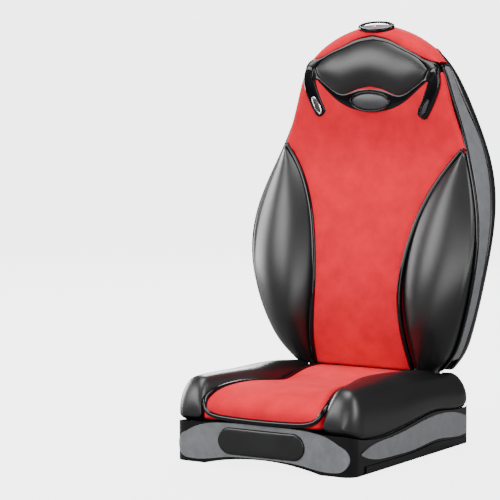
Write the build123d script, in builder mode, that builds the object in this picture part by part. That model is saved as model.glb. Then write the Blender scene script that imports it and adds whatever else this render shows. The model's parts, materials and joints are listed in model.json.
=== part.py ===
from build123d import *
import os

os.makedirs("parts", exist_ok=True)

# Racing seat: a padded base that bolts to the floor, and a bucket backrest hinged to it.
# Millimetres, +Z up, the front of the seat faces -Y.
# The origin is the middle of the base's underside, the centre of the four floor bolts.

# ---------------------------------------------------------------- base, overall
base_width = 416.0          # outside the base frame's side walls
base_depth = 510.0          # outside its front and rear walls
base_corner = 26.0          # corner radius in plan
frame_wall = 5.0
panel_thickness = 3.0       # grey panels on the outside of the walls
arch_height = 17.0          # clear height under the front and rear walls
arch_width = 270.0
cushion_overhang = 4.0      # how far the bolsters stand out past the side walls

# ---------------------------------------------------------------- floor pan and bolts
pan_height = 18.0
pan_thickness = 4.0
bolt_spacing_x = 290.0
bolt_spacing_y = 320.0
bolt_hole_radius = 4.25     # clears an M8 floor bolt
boss_radius = 14.0
nut_flats = 13.0
nut_height = 6.5

# ---------------------------------------------------------------- base cushions
cushion_floor = 92.0        # underside of the centre cushion
bolster_crest = 170.0       # highest possible point of a seat bolster
bolster_corner = 40.0       # rounding of the bolsters' outer top edge
bolster_plan_corner = 38.0
foam_bottom = 42.0
piping_gap = 5.0            # width left for the trim between centre cushion and bolster
foam_core = 86.0            # half width of the raised middle of the foam

# ---------------------------------------------------------------- release pads
release_width = 200.0
release_height = 53.0
release_centre = 50.5
release_travel = 6.0
release_proud = 5.0         # how far a pad stands out of its panel
release_thickness = 16.0
release_clearance = 1.0
release_post_radius = 5.0
release_post_spacing = 120.0
release_post_tail = 4.0     # how far a post stands out behind its guide
guide_plate = 4.0
guide_setback = 19.0        # from the inside of the wall to the guide's pad side

cable_radius = 3.0
cable_bend = 18.0
cable_points = [
    (109.0, -240.0, 34.0), (131.0, -228.0, 29.0), (129.0, -90.0, 26.0), (131.0, 60.0, 25.5),
    (129.0, 192.0, 29.0),
]

# ---------------------------------------------------------------- backrest, overall
back_bottom = 152.0
back_height = 726.0
back_half_width = 271.0
back_top = back_bottom + back_height
shell_top = back_top - 49.0
shell_corner = 24.0
shell_edge_radius = 26.0    # rounding of the rear shell's outer edge
shell_top_half = 130.0      # half width and rear of the shell at its top edge
shell_top_depth = 260.0
band_bottom = back_bottom + 24.0    # lower and upper end of the grey side bands
band_top = back_top - 82.0
wall = 4.0                  # wall of the rear shell and of the side bands
board_thickness = 5.0       # panel that carries the pads
bezel_depth = 6.0           # trim ring in front of the panel
bezel_width = 7.0
bezel_narrows = 0.615       # share of the height above which the bezel is a thin rim

# ---------------------------------------------------------------- backrest pads and trim
piping_width = 10.0         # space for the trim between centre pad and bolster
pad_gap = 0.6               # between a pad and the trim beside it
trim_foot = back_bottom + 11.0      # the trims end above the seat bolsters
edge_margin = 3.0           # rim left outside the centre pad above the bolsters
trim_proud = 3.0            # how far trim stands out in front of the pads
bolster_crown = 14.0
headrest_crown = 14.0
badge_height = back_top - 160.0 * back_height / 726.0
badge_half_width = 46.0
badge_half_height = 18.6
cap_split = 222.0           # behind this the cap fills the space above the shell
cap_inset = 0.5
top_badge_half_width = 44.0
top_badge_half_depth = 24.0
top_badge_y = 212.0
top_badge_sink = 9.0        # below the top of the backrest, to the badge's seat
top_badge_tilt = 24.0       # degrees forward from lying flat
ring_height = 9.0
ring_width = 6.0
trim_gap = 0.6              # between the cap and the headrest's surround
emblem_height = back_top - 153.0
emblem_half_width = 46.0
emblem_half_height = 23.5
screw_radius = 2.5
screw_clearance = 0.1
screw_boss_radius = 7.0
screw_length = 26.0

# ---------------------------------------------------------------- recliner
pivot_y = 222.0
pivot_z = 166.0
sweep_radius = 67.0         # the base is hollowed to this radius round the hinge
sweep_half_width = 174.0
bracket_x = 138.0           # inner face of a base bracket
plate_thickness = 6.0
plate_gap = 3.0             # filled by the friction washer
bracket_width = 26.0
pivot_radius = 6.0
running_clearance = 0.06
recliner_radius = 17.0
cross_tube_radius = 10.0
side_tube_radius = 9.0
arm_outline = [(-3.0, 64.0), (-20.0, 134.0), (-42.0, 134.0), (-29.0, 64.0)]
tube_wall = 1.5
tube_bend = 90.0            # bend radius of the side tubes
cover_radius = 13.0
cover_thickness = 7.0

clearance = 0.3             # between a soft piece and its neighbours
reach = 400.0               # longer than anything that is cut

# ---------------------------------------------------------------- shapes of the base
# Height of the joint between frame and cushions along the right side, as shares of half the
# depth from front (-1) to rear (1) and heights. The left side is the same moulding turned round.
frame_top = [
    (-1.10, 90.0), (-0.90, 74.0), (-0.62, 65.0), (-0.38, 66.0),
    (0.00, 76.0), (0.38, 85.0), (0.72, 78.0), (1.10, 90.0),
]
# Half width of the red centre cushion from front to rear.
seat_boundary = [
    (-1.03, 139.0), (-0.90, 136.0), (-0.70, 123.0), (-0.52, 109.0), (-0.33, 93.0), (-0.20, 91.0),
    (0.04, 101.0), (0.40, 111.0), (0.62, 114.0), (0.82, 128.0), (1.03, 138.0),
]
# Top of the centre cushion and of the bolsters along the seat.
centre_top = [
    (-1.020, 93.0), (-1.012, 116.0), (-0.90, 141.0), (-0.72, 153.0), (-0.50, 155.0),
    (0.00, 145.0), (0.45, 155.0), (0.72, 151.0), (0.90, 140.0), (1.012, 116.0), (1.020, 93.0),
]
bolster_top = [
    (-1.025, 96.0), (-1.018, 126.0), (-0.95, 152.0), (-0.82, 166.0), (-0.50, 169.0),
    (0.15, 167.0), (0.52, 158.0), (0.78, 149.0), (0.94, 130.0), (1.018, 108.0), (1.025, 96.0),
]
# Outline of the grey teardrop panel on the right side, first its top edge, then its bottom.
teardrop_top = [(-0.86, 43.0), (-0.72, 54.0), (-0.36, 61.0), (0.05, 72.0), (0.40, 79.0),
                (0.70, 73.0), (0.90, 58.0)]
teardrop_bottom = [(-0.86, 40.0), (-0.72, 29.0), (-0.36, 22.0), (0.02, 22.0), (0.40, 28.0),
                   (0.78, 21.0), (0.90, 23.0)]
sill_top = [(-0.80, 16.0), (-0.36, 15.0), (0.02, 16.0), (0.40, 21.0), (0.78, 15.0), (0.90, 14.0)]
# Half outline of the front panel from its middle to its end: x, height of top and bottom edge.
panel_top = [(0.0, 87.0), (90.0, 86.0), (144.0, 78.0), (178.0, 62.0)]
panel_bottom = [(0.0, 20.0), (90.0, 16.0), (144.0, 8.0), (178.0, 9.0)]

# ---------------------------------------------------------------- shapes of the backrest
# Front view, right half, as shares of the half width and of the height.
back_side = [
    (0.620, 0.000), (0.768, 0.058), (0.862, 0.125), (0.985, 0.281), (0.996, 0.430),
    (0.852, 0.614), (0.690, 0.780), (0.579, 0.892), (0.413, 0.950), (0.210, 0.986),
    (0.000, 1.000),
]
# Edge between the red centre pad and a black bolster.
pad_edge = [
    (0.443, -0.030), (0.413, 0.100), (0.384, 0.225), (0.413, 0.350), (0.487, 0.461),
    (0.631, 0.572), (0.830, 0.665),
]
# Side view: share of the height and distance behind the origin.
pad_front = [
    (-0.10, 186.0), (0.00, 159.0), (0.07, 136.0), (0.17, 121.0), (0.253, 123.0), (0.392, 144.0),
    (0.558, 179.0), (0.64, 193.0), (0.75, 188.0), (0.85, 187.0), (1.04, 207.0),
]
board_front = [
    (-0.10, 210.0), (0.00, 194.0), (0.114, 169.0), (0.253, 151.5), (0.392, 159.0),
    (0.558, 189.0), (0.669, 210.0), (0.78, 216.0), (0.892, 215.0), (1.04, 222.0),
]
band_rear = [
    (-0.10, 254.0), (0.00, 236.0), (0.07, 207.0), (0.169, 190.0), (0.253, 184.0), (0.392, 202.0),
    (0.558, 256.0), (0.669, 276.0), (0.753, 262.0), (0.836, 240.0), (1.04, 248.0),
]
# Rear of the shell at the heights of back_side.
shell_rear = [
    (0.000, 272.0), (0.058, 250.0), (0.125, 233.0), (0.281, 221.0), (0.430, 254.0),
    (0.614, 312.0), (0.780, 303.0), (0.892, 267.0),
]


# Route of the frame's side tubes and places of its cross tubes: share of height, and depth.
tube_route = [
    (0.055, 218.0), (0.17, 197.0), (0.30, 189.0), (0.44, 204.0), (0.62, 245.0), (0.78, 246.0),
    (0.87, 240.0),
]
cross_tubes = [(0.20, 194.0), (0.60, 241.0), (0.85, 241.5)]
# Saddles between the side tubes and the carrier: share of height, and depth of the tube there.
saddles = [(0.28, 190.0), (0.70, 245.5)]
saddle_height = 24.0
# Rear shell screws: shares of the half width and of the height.
screw_points = [(0.30, 0.10), (0.80, 0.36), (0.30, 0.76)]
# Headrest surround, right half at the nominal size: upper edge, slanting arm, lower bowl.
trim_top = [
    (0.0, 857.0), (30.0, 851.0), (83.0, 827.0), (119.0, 811.0), (150.0, 802.0), (190.0, 806.0),
]
arm_outer = [(192.0, 752.0), (168.0, 743.0), (151.0, 713.0), (138.0, 694.0)]
arm_tip = (125.0, 684.0)
arm_inner = [(115.0, 697.0), (127.0, 722.0), (140.0, 755.0)]
trim_bowl = [(132.0, 762.0), (106.0, 738.0), (77.0, 714.0), (47.0, 698.0), (0.0, 690.0)]
headrest_edge = [
    (0.0, 848.0), (36.0, 842.0), (73.0, 827.0), (112.0, 809.0), (134.0, 788.0),
    (124.0, 765.0), (104.0, 749.0), (70.0, 732.0), (32.0, 743.0), (0.0, 749.0),
]
# Side view of the cap: down its front from the crown, and down its rear. Depth, drop from the top.
cap_front = [(232.0, 0.0), (214.0, 9.0), (199.0, 32.0), (194.0, 62.0), (194.0, 98.0)]
cap_back = [(232.0, 0.0), (250.0, 10.0), (259.0, 28.0), (262.0, 48.7)]
# Heights of the sections of a back bolster, as shares, with how much of the crown each has.
bolster_levels = [
    (0.015, 0.0), (0.058, 0.35), (0.125, 0.8), (0.20, 1.0), (0.281, 1.0), (0.36, 1.0),
    (0.43, 1.0), (0.52, 0.8), (0.572, 0.5), (0.605, 0.3), (0.635, 0.1),
]


def level(points, share):
    """Value of a curve of (share, value) points, taken straight between its points."""
    for (low, first), (high, second) in zip(points, points[1:]):
        if low <= share <= high:
            return first + (second - first) * (share - low) / (high - low)
    return points[-1][1]


def across(points, inset=0.0):
    """Side-view points of the base: shares of the half depth become distances."""
    return [(share * base_depth / 2, height + inset) for share, height in points]


def turned(points):
    """The same curve on a moulding that is turned half a turn about the origin."""
    return [(-share, height) for share, height in reversed(points)]


def plan_points(points, side, extra=0.0):
    """Plan points of the base: shares of the half depth, half widths scaled with the base."""
    scale = base_width / 416.0
    return [(side * (half * scale + extra), share * base_depth / 2) for share, half in points]


def front_points(points, side=1, inset=0.0):
    """Front-view points of the backrest from shares of its half width and height."""
    return [
        (side * (x * back_half_width - inset), back_bottom + z * back_height)
        for x, z in points
    ]


def depth_points(points, shift=0.0):
    """Side-view points of the backrest: distance behind the origin, and height."""
    return [(y + shift, back_bottom + z * back_height) for z, y in points]


def face_between(plane, first, second):
    """Face between two curves that run the same way, closed by a line at each end."""
    with BuildSketch(plane) as face:
        with BuildLine():
            near = Spline(*first)
            far = Spline(*second)
            Line(near @ 0, far @ 0)
            Line(near @ 1, far @ 1)
        make_face()
    return face.sketch


def depth_band(front, front_shift, rear, rear_shift):
    """Side-view face of the backrest between two depth curves."""
    return face_between(
        Plane.YZ, depth_points(front, front_shift), depth_points(rear, rear_shift)
    )


def write(piece, name):
    """Labels a finished piece and writes it under the same name."""
    piece.part.label = name
    export_step(piece.part, f"parts/{name}.step")


# ================================================================ base frame
half_depth = base_depth / 2
half_width = base_width / 2

with BuildSketch(Plane.XY) as frame_ring:
    RectangleRounded(base_width, base_depth, base_corner)
    RectangleRounded(
        base_width - 2 * frame_wall, base_depth - 2 * frame_wall, base_corner - frame_wall,
        mode=Mode.SUBTRACT,
    )

with BuildSketch(Plane.XY) as panel_ring:
    RectangleRounded(
        base_width + 2 * panel_thickness, base_depth + 2 * panel_thickness,
        base_corner + panel_thickness,
    )
    RectangleRounded(base_width, base_depth, base_corner, mode=Mode.SUBTRACT)

below_cushions = face_between(
    Plane.YZ, across(frame_top), [(-1.1 * half_depth, 0.0), (0.0, 0.0), (1.1 * half_depth, 0.0)]
)

with BuildSketch(Plane.XZ) as arch:
    with BuildLine():
        ThreePointArc((-arch_width / 2, 0.0), (0.0, arch_height), (arch_width / 2, 0.0))
        Line((-arch_width / 2, 0.0), (arch_width / 2, 0.0))
    make_face()

with BuildSketch(Plane.XZ) as release_opening:
    with Locations((0, release_centre)):
        SlotOverall(
            release_width + 2 * release_clearance, release_height + 2 * release_clearance
        )

with BuildPart() as frame_half:
    extrude(frame_ring.sketch, amount=reach)
    extrude(below_cushions, amount=reach, mode=Mode.INTERSECT)

with BuildPart() as base_frame:
    add(frame_half.part)
    add(frame_half.part.rotate(Axis.Z, 180))
    extrude(arch.sketch, amount=reach, both=True, mode=Mode.SUBTRACT)
    extrude(release_opening.sketch, amount=reach, both=True, mode=Mode.SUBTRACT)
write(base_frame, "base_frame")

# Front and rear panels are one moulding, wrapped round the corners, with a hole for its pad.
with BuildSketch(Plane.XZ) as panel_outline:
    with BuildLine():
        upper = Spline(*[(-x, z) for x, z in reversed(panel_top[1:])], *panel_top)
        lower = Spline(*[(-x, z) for x, z in reversed(panel_bottom[1:])], *panel_bottom)
        right_end = ThreePointArc(upper @ 1, (half_width - 9.0, 36.0), lower @ 1)
        left_end = ThreePointArc(upper @ 0, (9.0 - half_width, 36.0), lower @ 0)
    make_face()

for name, facing in (("front_panel", -1), ("rear_panel", 1)):
    with BuildPart() as panel:
        extrude(panel_ring.sketch, amount=reach)
        extrude(panel_outline.sketch, amount=-facing * reach, mode=Mode.INTERSECT)
        extrude(release_opening.sketch, amount=reach, both=True, mode=Mode.SUBTRACT)
    write(panel, name)

# Grey teardrop panels and black sill strips, the same on both sides but turned half a turn.
teardrop = face_between(Plane.YZ, across(teardrop_top), across(teardrop_bottom))
sill = face_between(
    Plane.YZ, across(sill_top), [(share * half_depth, 1.0) for share, _ in sill_top]
)
for name, outline in (("side_panel", teardrop), ("side_sill", sill)):
    with BuildPart() as right_piece:
        extrude(panel_ring.sketch, amount=reach)
        extrude(outline, amount=reach, mode=Mode.INTERSECT)
    write(right_piece, f"{name}_right")
    with BuildPart() as left_piece:
        add(right_piece.part.rotate(Axis.Z, 180))
    write(left_piece, f"{name}_left")

# ================================================================ floor pan
pan_top = pan_height + pan_thickness
inner_width = base_width - 2 * frame_wall
inner_depth = base_depth - 2 * frame_wall
inner_corner = base_corner - frame_wall

with BuildPart() as seat_pan:
    with BuildSketch(Plane.XY.offset(pan_height)):
        RectangleRounded(inner_width, inner_depth, inner_corner)
    extrude(amount=pan_thickness)
    with BuildSketch(Plane.XY):
        with GridLocations(bolt_spacing_x, bolt_spacing_y, 2, 2):
            Circle(boss_radius)
    extrude(amount=pan_top)
    with GridLocations(bolt_spacing_x, bolt_spacing_y, 2, 2):
        Hole(bolt_hole_radius)
    # Drain and access hole under the foam.
    Hole(40.0)
write(seat_pan, "seat_pan")

with BuildPart() as floor_nuts:
    with BuildSketch(Plane.XY.offset(pan_top)):
        with GridLocations(bolt_spacing_x, bolt_spacing_y, 2, 2):
            RegularPolygon(nut_flats / 2, 6, major_radius=False)
            Circle(bolt_hole_radius, mode=Mode.SUBTRACT)
    extrude(amount=nut_height)
write(floor_nuts, "floor_nuts")

# ================================================================ base cushions
pivot_plane = Plane.YZ.offset(-sweep_half_width)

with BuildPart() as hinge_sweep:
    with BuildSketch(pivot_plane):
        with Locations((pivot_y, pivot_z)):
            Circle(sweep_radius)
    extrude(amount=2 * sweep_half_width)

pocket_inner = bracket_x - 12.0
pocket_outer = bracket_x + 2 * plate_thickness + plate_gap + 8.0
pocket_front = pivot_y - 44.0
pocket_rear = pivot_y + 26.0

with BuildPart() as bracket_pockets:
    for side in (-1, 1):
        with Locations((side * (pocket_inner + pocket_outer) / 2, (pocket_front + pocket_rear) / 2, 0)):
            Box(
                pocket_outer - pocket_inner, pocket_rear - pocket_front, 2 * pivot_z,
            )

with BuildSketch(Plane.YZ) as centre_band:
    with BuildLine():
        crown = Spline(*across(centre_top))
        Polyline(
            crown @ 0, (-1.02 * half_depth, cushion_floor),
            (1.02 * half_depth, cushion_floor), crown @ 1,
        )
    make_face()

with BuildPart() as seat_centre_cushion:
    extrude(
        face_between(Plane.XY, plan_points(seat_boundary, 1), plan_points(seat_boundary, -1)),
        amount=reach,
    )
    extrude(centre_band.sketch, amount=reach, both=True, mode=Mode.INTERSECT)
    add(hinge_sweep.part, mode=Mode.SUBTRACT)
    add(bracket_pockets.part, mode=Mode.SUBTRACT)
write(seat_centre_cushion, "seat_centre_cushion")

# The bolsters are hollowed for the backrest's swing and pocketed for the hinge brackets.
with BuildSketch(Plane.XZ) as bolster_front_view:
    with Locations((0, 0)):
        RectangleRounded(
            base_width + 2 * cushion_overhang, 2 * bolster_crest, bolster_corner
        )
with BuildSketch(Plane.XY) as bolster_plan:
    RectangleRounded(
        base_width + 2 * cushion_overhang, 1.025 * base_depth, bolster_plan_corner
    )
bolster_side = face_between(
    Plane.XY, plan_points(seat_boundary, 1, piping_gap),
    [(reach, -1.03 * half_depth), (reach, 0), (reach, 1.03 * half_depth)],
)
with BuildPart() as bolster_blank:
    extrude(bolster_plan.sketch, amount=reach)
    extrude(bolster_front_view.sketch, amount=reach, both=True, mode=Mode.INTERSECT)
    extrude(bolster_side, amount=reach, mode=Mode.INTERSECT)


for name, side, floor in (("right", 1, frame_top), ("left", -1, turned(frame_top))):
    with BuildPart() as seat_bolster:
        add(bolster_blank.part)
        if side < 0:
            mirror(about=Plane.YZ, mode=Mode.REPLACE)
        extrude(
            face_between(Plane.YZ, across(bolster_top), across(floor, clearance)),
            amount=reach, both=True, mode=Mode.INTERSECT,
        )
        add(hinge_sweep.part, mode=Mode.SUBTRACT)
        add(bracket_pockets.part, mode=Mode.SUBTRACT)
    write(seat_bolster, f"seat_bolster_{name}")

# The foam lies on the springs and fills the frame up to the cushions, and stops short
# of the release pads' posts at the end of their travel.
guide_face = half_depth - frame_wall - guide_setback    # the guide's pad side
foam_depth = 2 * (
    guide_face - guide_plate - release_post_tail - release_travel - clearance
)
with BuildPart() as foam_half:
    with BuildSketch(Plane.XY.offset(foam_bottom)):
        RectangleRounded(inner_width - 2, foam_depth, inner_corner)
    extrude(amount=reach)
    extrude(
        face_between(
            Plane.YZ, across(frame_top, -clearance),
            [(-1.1 * half_depth, 0.0), (0.0, 0.0), (1.1 * half_depth, 0.0)],
        ),
        amount=reach, mode=Mode.INTERSECT,
    )

with BuildPart() as seat_foam:
    add(foam_half.part)
    add(foam_half.part.rotate(Axis.Z, 180))
    with BuildSketch(Plane.XY.offset(foam_bottom)):
        Rectangle(2 * foam_core, foam_depth)
    extrude(amount=cushion_floor - clearance - foam_bottom)
    add(bracket_pockets.part, mode=Mode.SUBTRACT)
write(seat_foam, "seat_foam")

# Zigzag springs span two rails that stand on the pan.
rail_height = 16.0
rail_y = half_depth - 45.0
spring_radius = 2.0
spring_spacing = 62.0
spring_rise = pan_top + rail_height + spring_radius
with BuildPart() as spring_rails:
    for facing in (-1, 1):
        with Locations((0, facing * rail_y, pan_top + rail_height / 2)):
            Box(3 * spring_spacing + 40.0, 14.0, rail_height)
write(spring_rails, "spring_rails")

zigzag_count = 16
zigzag_reach = 16.0
pitch = 2 * rail_y / zigzag_count
with BuildPart() as seat_springs:
    for number in range(4):
        centre = (number - 1.5) * spring_spacing
        with BuildLine(Plane.XY.offset(spring_rise)) as wire:
            FilletPolyline(
                (centre, -rail_y),
                *[
                    (centre + (-1) ** turn * zigzag_reach, -rail_y + (turn + 0.5) * pitch)
                    for turn in range(zigzag_count)
                ],
                (centre, rail_y),
                radius=6.0,
            )
        with BuildSketch(Plane(origin=wire.line @ 0, z_dir=wire.line % 0)):
            Circle(spring_radius)
        sweep(path=wire.line)
write(seat_springs, "seat_springs")

# ================================================================ recliner, base side
bracket_y = (pivot_y - 40.0, pivot_y + 22.0)
cover_x = bracket_x + 2 * plate_thickness + plate_gap + 1.5
pin_length = cover_x - bracket_x + 4.0

for name, side in (("left", -1), ("right", 1)):
    inner_plane = Plane.YZ.offset(side * bracket_x)
    with BuildPart() as bracket:
        with BuildSketch(inner_plane):
            with BuildLine():
                Polyline(
                    (bracket_y[0], pan_top), (bracket_y[1], pan_top),
                    (pivot_y + bracket_width / 2, pan_top + 60.0),
                    (pivot_y + bracket_width / 2, pivot_z),
                    (pivot_y - bracket_width / 2, pivot_z),
                    (pivot_y - bracket_width / 2, pan_top + 60.0),
                    close=True,
                )
            make_face()
            with Locations((pivot_y, pivot_z)):
                Circle(bracket_width / 2)
        extrude(amount=side * plate_thickness)
        with BuildSketch(inner_plane):
            with Locations((pivot_y, pivot_z)):
                Circle(pivot_radius + running_clearance)
        extrude(amount=side * plate_thickness, mode=Mode.SUBTRACT)
        # Foot that is welded to the pan.
        with Locations((
            side * (bracket_x + plate_thickness / 2), sum(bracket_y) / 2, pan_top + 2.0,
        )):
            Box(plate_thickness + 8.0, bracket_y[1] - bracket_y[0], 4.0)
    write(bracket, f"recliner_bracket_{name}")

    with BuildPart() as pivot_bolt:
        with BuildSketch(Plane.YZ.offset(side * (bracket_x - 4.0))):
            with Locations((pivot_y, pivot_z)):
                Circle(pivot_radius)
        extrude(amount=side * pin_length)
        with BuildSketch(Plane.YZ.offset(side * (bracket_x - 4.0))):
            with Locations((pivot_y, pivot_z)):
                RegularPolygon(pivot_radius * 1.7, 6)
        extrude(amount=side * 4.0)
    write(pivot_bolt, f"pivot_bolt_{name}")

# ================================================================ release pads
pad_front_face = half_depth + panel_thickness + release_proud
pad_back_face = pad_front_face - release_thickness
guide_half_width = release_width / 2 + 4.0
guide_height = 2 * (release_centre - pan_top)

for name, facing in (("front", -1), ("rear", 1)):
    pad_plane = Plane(
        origin=(0, facing * pad_front_face, release_centre), x_dir=(1, 0, 0),
        z_dir=(0, -facing, 0),
    )
    with BuildPart() as release_pad:
        with BuildSketch(pad_plane):
            SlotOverall(release_width, release_height)
        extrude(amount=release_thickness)
        fillet(
            release_pad.faces().sort_by(Axis.Y)[0 if facing < 0 else -1].edges(), 4.0
        )
        with BuildSketch(pad_plane.offset(release_thickness)):
            with GridLocations(release_post_spacing, 1, 2, 1):
                Circle(release_post_radius)
        extrude(amount=pad_back_face - guide_face + guide_plate + release_post_tail)
    write(release_pad, f"{name}_release_pad")

    guide_plane = Plane(
        origin=(0, facing * guide_face, release_centre), x_dir=(1, 0, 0),
        z_dir=(0, -facing, 0),
    )
    with BuildPart() as release_guide:
        with BuildSketch(guide_plane):
            Rectangle(2 * guide_half_width, guide_height)
        extrude(amount=guide_plate)
        # Side legs that carry the plate on the frame's wall.
        with BuildSketch(guide_plane):
            with GridLocations(2 * guide_half_width + guide_plate, 1, 2, 1):
                Rectangle(guide_plate, guide_height)
        extrude(amount=guide_plate)
        with BuildSketch(guide_plane):
            with GridLocations(2 * guide_half_width + guide_plate, 1, 2, 1):
                Rectangle(guide_plate, guide_height)
        extrude(amount=guide_face - half_depth + frame_wall)
        with BuildSketch(guide_plane):
            with GridLocations(release_post_spacing, 1, 2, 1):
                Circle(release_post_radius + running_clearance)
        extrude(amount=guide_plate, mode=Mode.SUBTRACT)
    write(release_guide, f"{name}_release_guide")

    # Rubber stops on the posts take the end of the pad's travel.
    with BuildPart() as release_stops:
        with BuildSketch(guide_plane):
            with GridLocations(release_post_spacing, 1, 2, 1):
                Circle(release_post_radius + 4.0)
                Circle(release_post_radius + 1.0, mode=Mode.SUBTRACT)
        extrude(amount=-(pad_back_face - guide_face - release_travel - 0.2))
    write(release_stops, f"{name}_release_stops")

# Sheathed cables lie on the pan under the foam and climb the brackets to the hinges.
cable_x = bracket_x - cable_radius
for name, side in (("left", -1), ("right", 1)):
    with BuildPart() as cable:
        with BuildLine() as cable_route:
            FilletPolyline(
                *[(side * x, y, z) for x, y, z in cable_points],
                (side * cable_x, pivot_y - 22.0, pivot_z - 56.0),
                (side * cable_x, pivot_y - 10.0, pivot_z - 20.0),
                radius=cable_bend,
            )
        with BuildSketch(Plane(origin=cable_route.line @ 0, z_dir=cable_route.line % 0)):
            Circle(cable_radius)
        sweep(path=cable_route.line)
    write(cable, f"release_cable_{name}")

# ================================================================ backrest shell and carrier
def back_face(inset=0.0):
    """Front-view face of the whole backrest, drawn in by the inset all round but its foot."""
    right = [
        (max(x * back_half_width - inset, 0.0), back_bottom + z * back_height - inset * z**8)
        for x, z in back_side
    ]
    with BuildSketch(Plane.XZ) as face:
        with BuildLine():
            contour = Spline(*right, *[(-x, z) for x, z in reversed(right[:-1])])
            Line(contour @ 0, contour @ 1)
        make_face()
    return face.sketch


def screw_circles(radius):
    """Front-view circles at every screw that holds the rear shell."""
    with BuildSketch(Plane.XZ) as circles:
        for x, z in screw_points:
            height = back_bottom + z * back_height
            with Locations((x * back_half_width, height), (-x * back_half_width, height)):
                Circle(radius)
    return circles.sketch


# The rear shell is one hollow moulding, open to the front and, for the hinges, at the bottom.
# Its sections stand at the heights of back_side and end at the shell's flat top.
shell_stations = [
    (x * back_half_width, back_bottom + z * back_height, depth)
    for (x, z), (_, depth) in zip(back_side, shell_rear)
    if back_bottom + z * back_height < shell_top
] + [(shell_top_half, shell_top, shell_top_depth)]


def shell_body(inset):
    """Lofted body with rounded rear corners, drawn in by the inset on its sides and rear."""
    with BuildPart() as body:
        for half, height, depth in shell_stations:
            with BuildSketch(Plane.XY.offset(height)):
                with Locations((0, (depth - inset) / 2)):
                    RectangleRounded(
                        2 * (half - inset), depth - inset, shell_edge_radius - inset
                    )
        loft()
    return body.part


with BuildPart() as shell_void:
    add(shell_body(wall))
    with Locations((0, 0, shell_top - wall - reach)):
        Box(2 * reach, 4 * reach, 2 * reach, mode=Mode.INTERSECT)

with BuildPart() as shell_bosses:
    add(shell_body(wall / 2))
    extrude(screw_circles(screw_boss_radius), amount=reach, both=True, mode=Mode.INTERSECT)
    extrude(
        depth_band(board_front, board_thickness + clearance, board_front, reach), amount=reach,
        both=True, mode=Mode.INTERSECT,
    )

with BuildPart() as screw_bores:
    extrude(screw_circles(screw_radius + screw_clearance), amount=reach, both=True)
    extrude(
        depth_band(board_front, 0, board_front, screw_length + 1.0), amount=reach, both=True,
        mode=Mode.INTERSECT,
    )

with BuildPart() as back_shell:
    add(shell_body(0.0))
    extrude(
        depth_band(band_rear, 0, band_rear, reach), amount=reach, both=True,
        mode=Mode.INTERSECT,
    )
    add(shell_void.part, mode=Mode.SUBTRACT)
    add(shell_bosses.part)
    add(screw_bores.part, mode=Mode.SUBTRACT)
write(back_shell, "back_shell")

# The grey bands close the sides between the bezel and the shell.
with BuildSketch(Plane.XZ) as band_ring:
    add(back_face())
    add(back_face(wall), mode=Mode.SUBTRACT)
    with Locations((0, (band_bottom + band_top) / 2)):
        Rectangle(2 * reach, band_top - band_bottom, mode=Mode.INTERSECT)

for name, side in (("right", 1), ("left", -1)):
    with BuildPart() as side_band:
        extrude(band_ring.sketch, amount=reach, both=True)
        extrude(
            depth_band(board_front, 0, band_rear, 0), amount=side * reach,
            mode=Mode.INTERSECT,
        )
    write(side_band, f"side_band_{name}")

# The carrier panel holds the pads. It stands inside the bands, in front of the shell.
with BuildPart() as back_carrier:
    with BuildSketch(Plane.XZ):
        add(back_face(wall + clearance))
        with Locations((0, shell_top - reach)):
            Rectangle(2 * reach, 2 * reach, mode=Mode.INTERSECT)
    extrude(amount=reach, both=True)
    extrude(
        depth_band(board_front, 0, board_front, board_thickness), amount=reach, both=True,
        mode=Mode.INTERSECT,
    )
    extrude(
        screw_circles(screw_radius + screw_clearance), amount=reach, both=True,
        mode=Mode.SUBTRACT,
    )
write(back_carrier, "back_carrier")

# Screws run from countersinks under the pads into bosses inside the shell.
with BuildPart() as shell_screws:
    extrude(screw_circles(screw_radius), amount=reach, both=True)
    extrude(
        depth_band(board_front, 0.5, board_front, screw_length), amount=reach, both=True,
        mode=Mode.INTERSECT,
    )
write(shell_screws, "shell_screws")

# ================================================================ backrest pads and trim
pad_band = depth_band(pad_front, 0, board_front, -clearance)
trim_band = depth_band(pad_front, -trim_proud, board_front, -clearance)


def share_points(points, side=1, shift_x=0.0, shift_z=0.0):
    """Front-view points given at the nominal size, scaled with the backrest, then shifted."""
    across_scale = back_half_width / 271.0
    up_scale = back_height / 726.0
    return [
        (
            side * (x * across_scale + (shift_x if x else 0.0)),
            back_bottom + (z - 152.0) * up_scale + shift_z,
        )
        for x, z in points
    ]


def trim_face(grow=0.0):
    """Front-view face of the headrest's surround with its two slanting arms."""
    with BuildSketch(Plane.XZ) as whole:
        with BuildLine():
            top = Spline(*share_points(trim_top, 1, 0.0, grow))
            outer = Spline(*share_points(arm_outer, 1, grow, -grow))
            inner = Spline(*share_points(arm_inner, 1, -grow, 0.0))
            bowl = Spline(*share_points(trim_bowl, 1, 0.0, -grow))
            Line(top @ 1, outer @ 0)
            ThreePointArc(outer @ 1, share_points([arm_tip], 1, 0.0, -grow)[0], inner @ 0)
            Line(inner @ 1, bowl @ 0)
            Line(bowl @ 1, top @ 0)
        make_face()
        mirror(about=Plane.YZ)
    return whole.sketch


def headrest_face(grow=0.0):
    """Front-view face of the headrest pad, a broad two-lobed shape."""
    middle = (headrest_edge[0][1] + headrest_edge[-1][1]) / 2
    wide = 1 + grow / max(x for x, _ in headrest_edge)
    high = 1 + grow / (headrest_edge[0][1] - middle)
    points = [(x * wide, middle + (z - middle) * high) for x, z in headrest_edge]
    with BuildSketch(Plane.XZ) as whole:
        with BuildLine():
            edge = Spline(*share_points(points), tangents=((1, 0), (-1, 0)))
            Line(edge @ 1, edge @ 0)
        make_face()
        mirror(about=Plane.YZ)
    return whole.sketch


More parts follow.
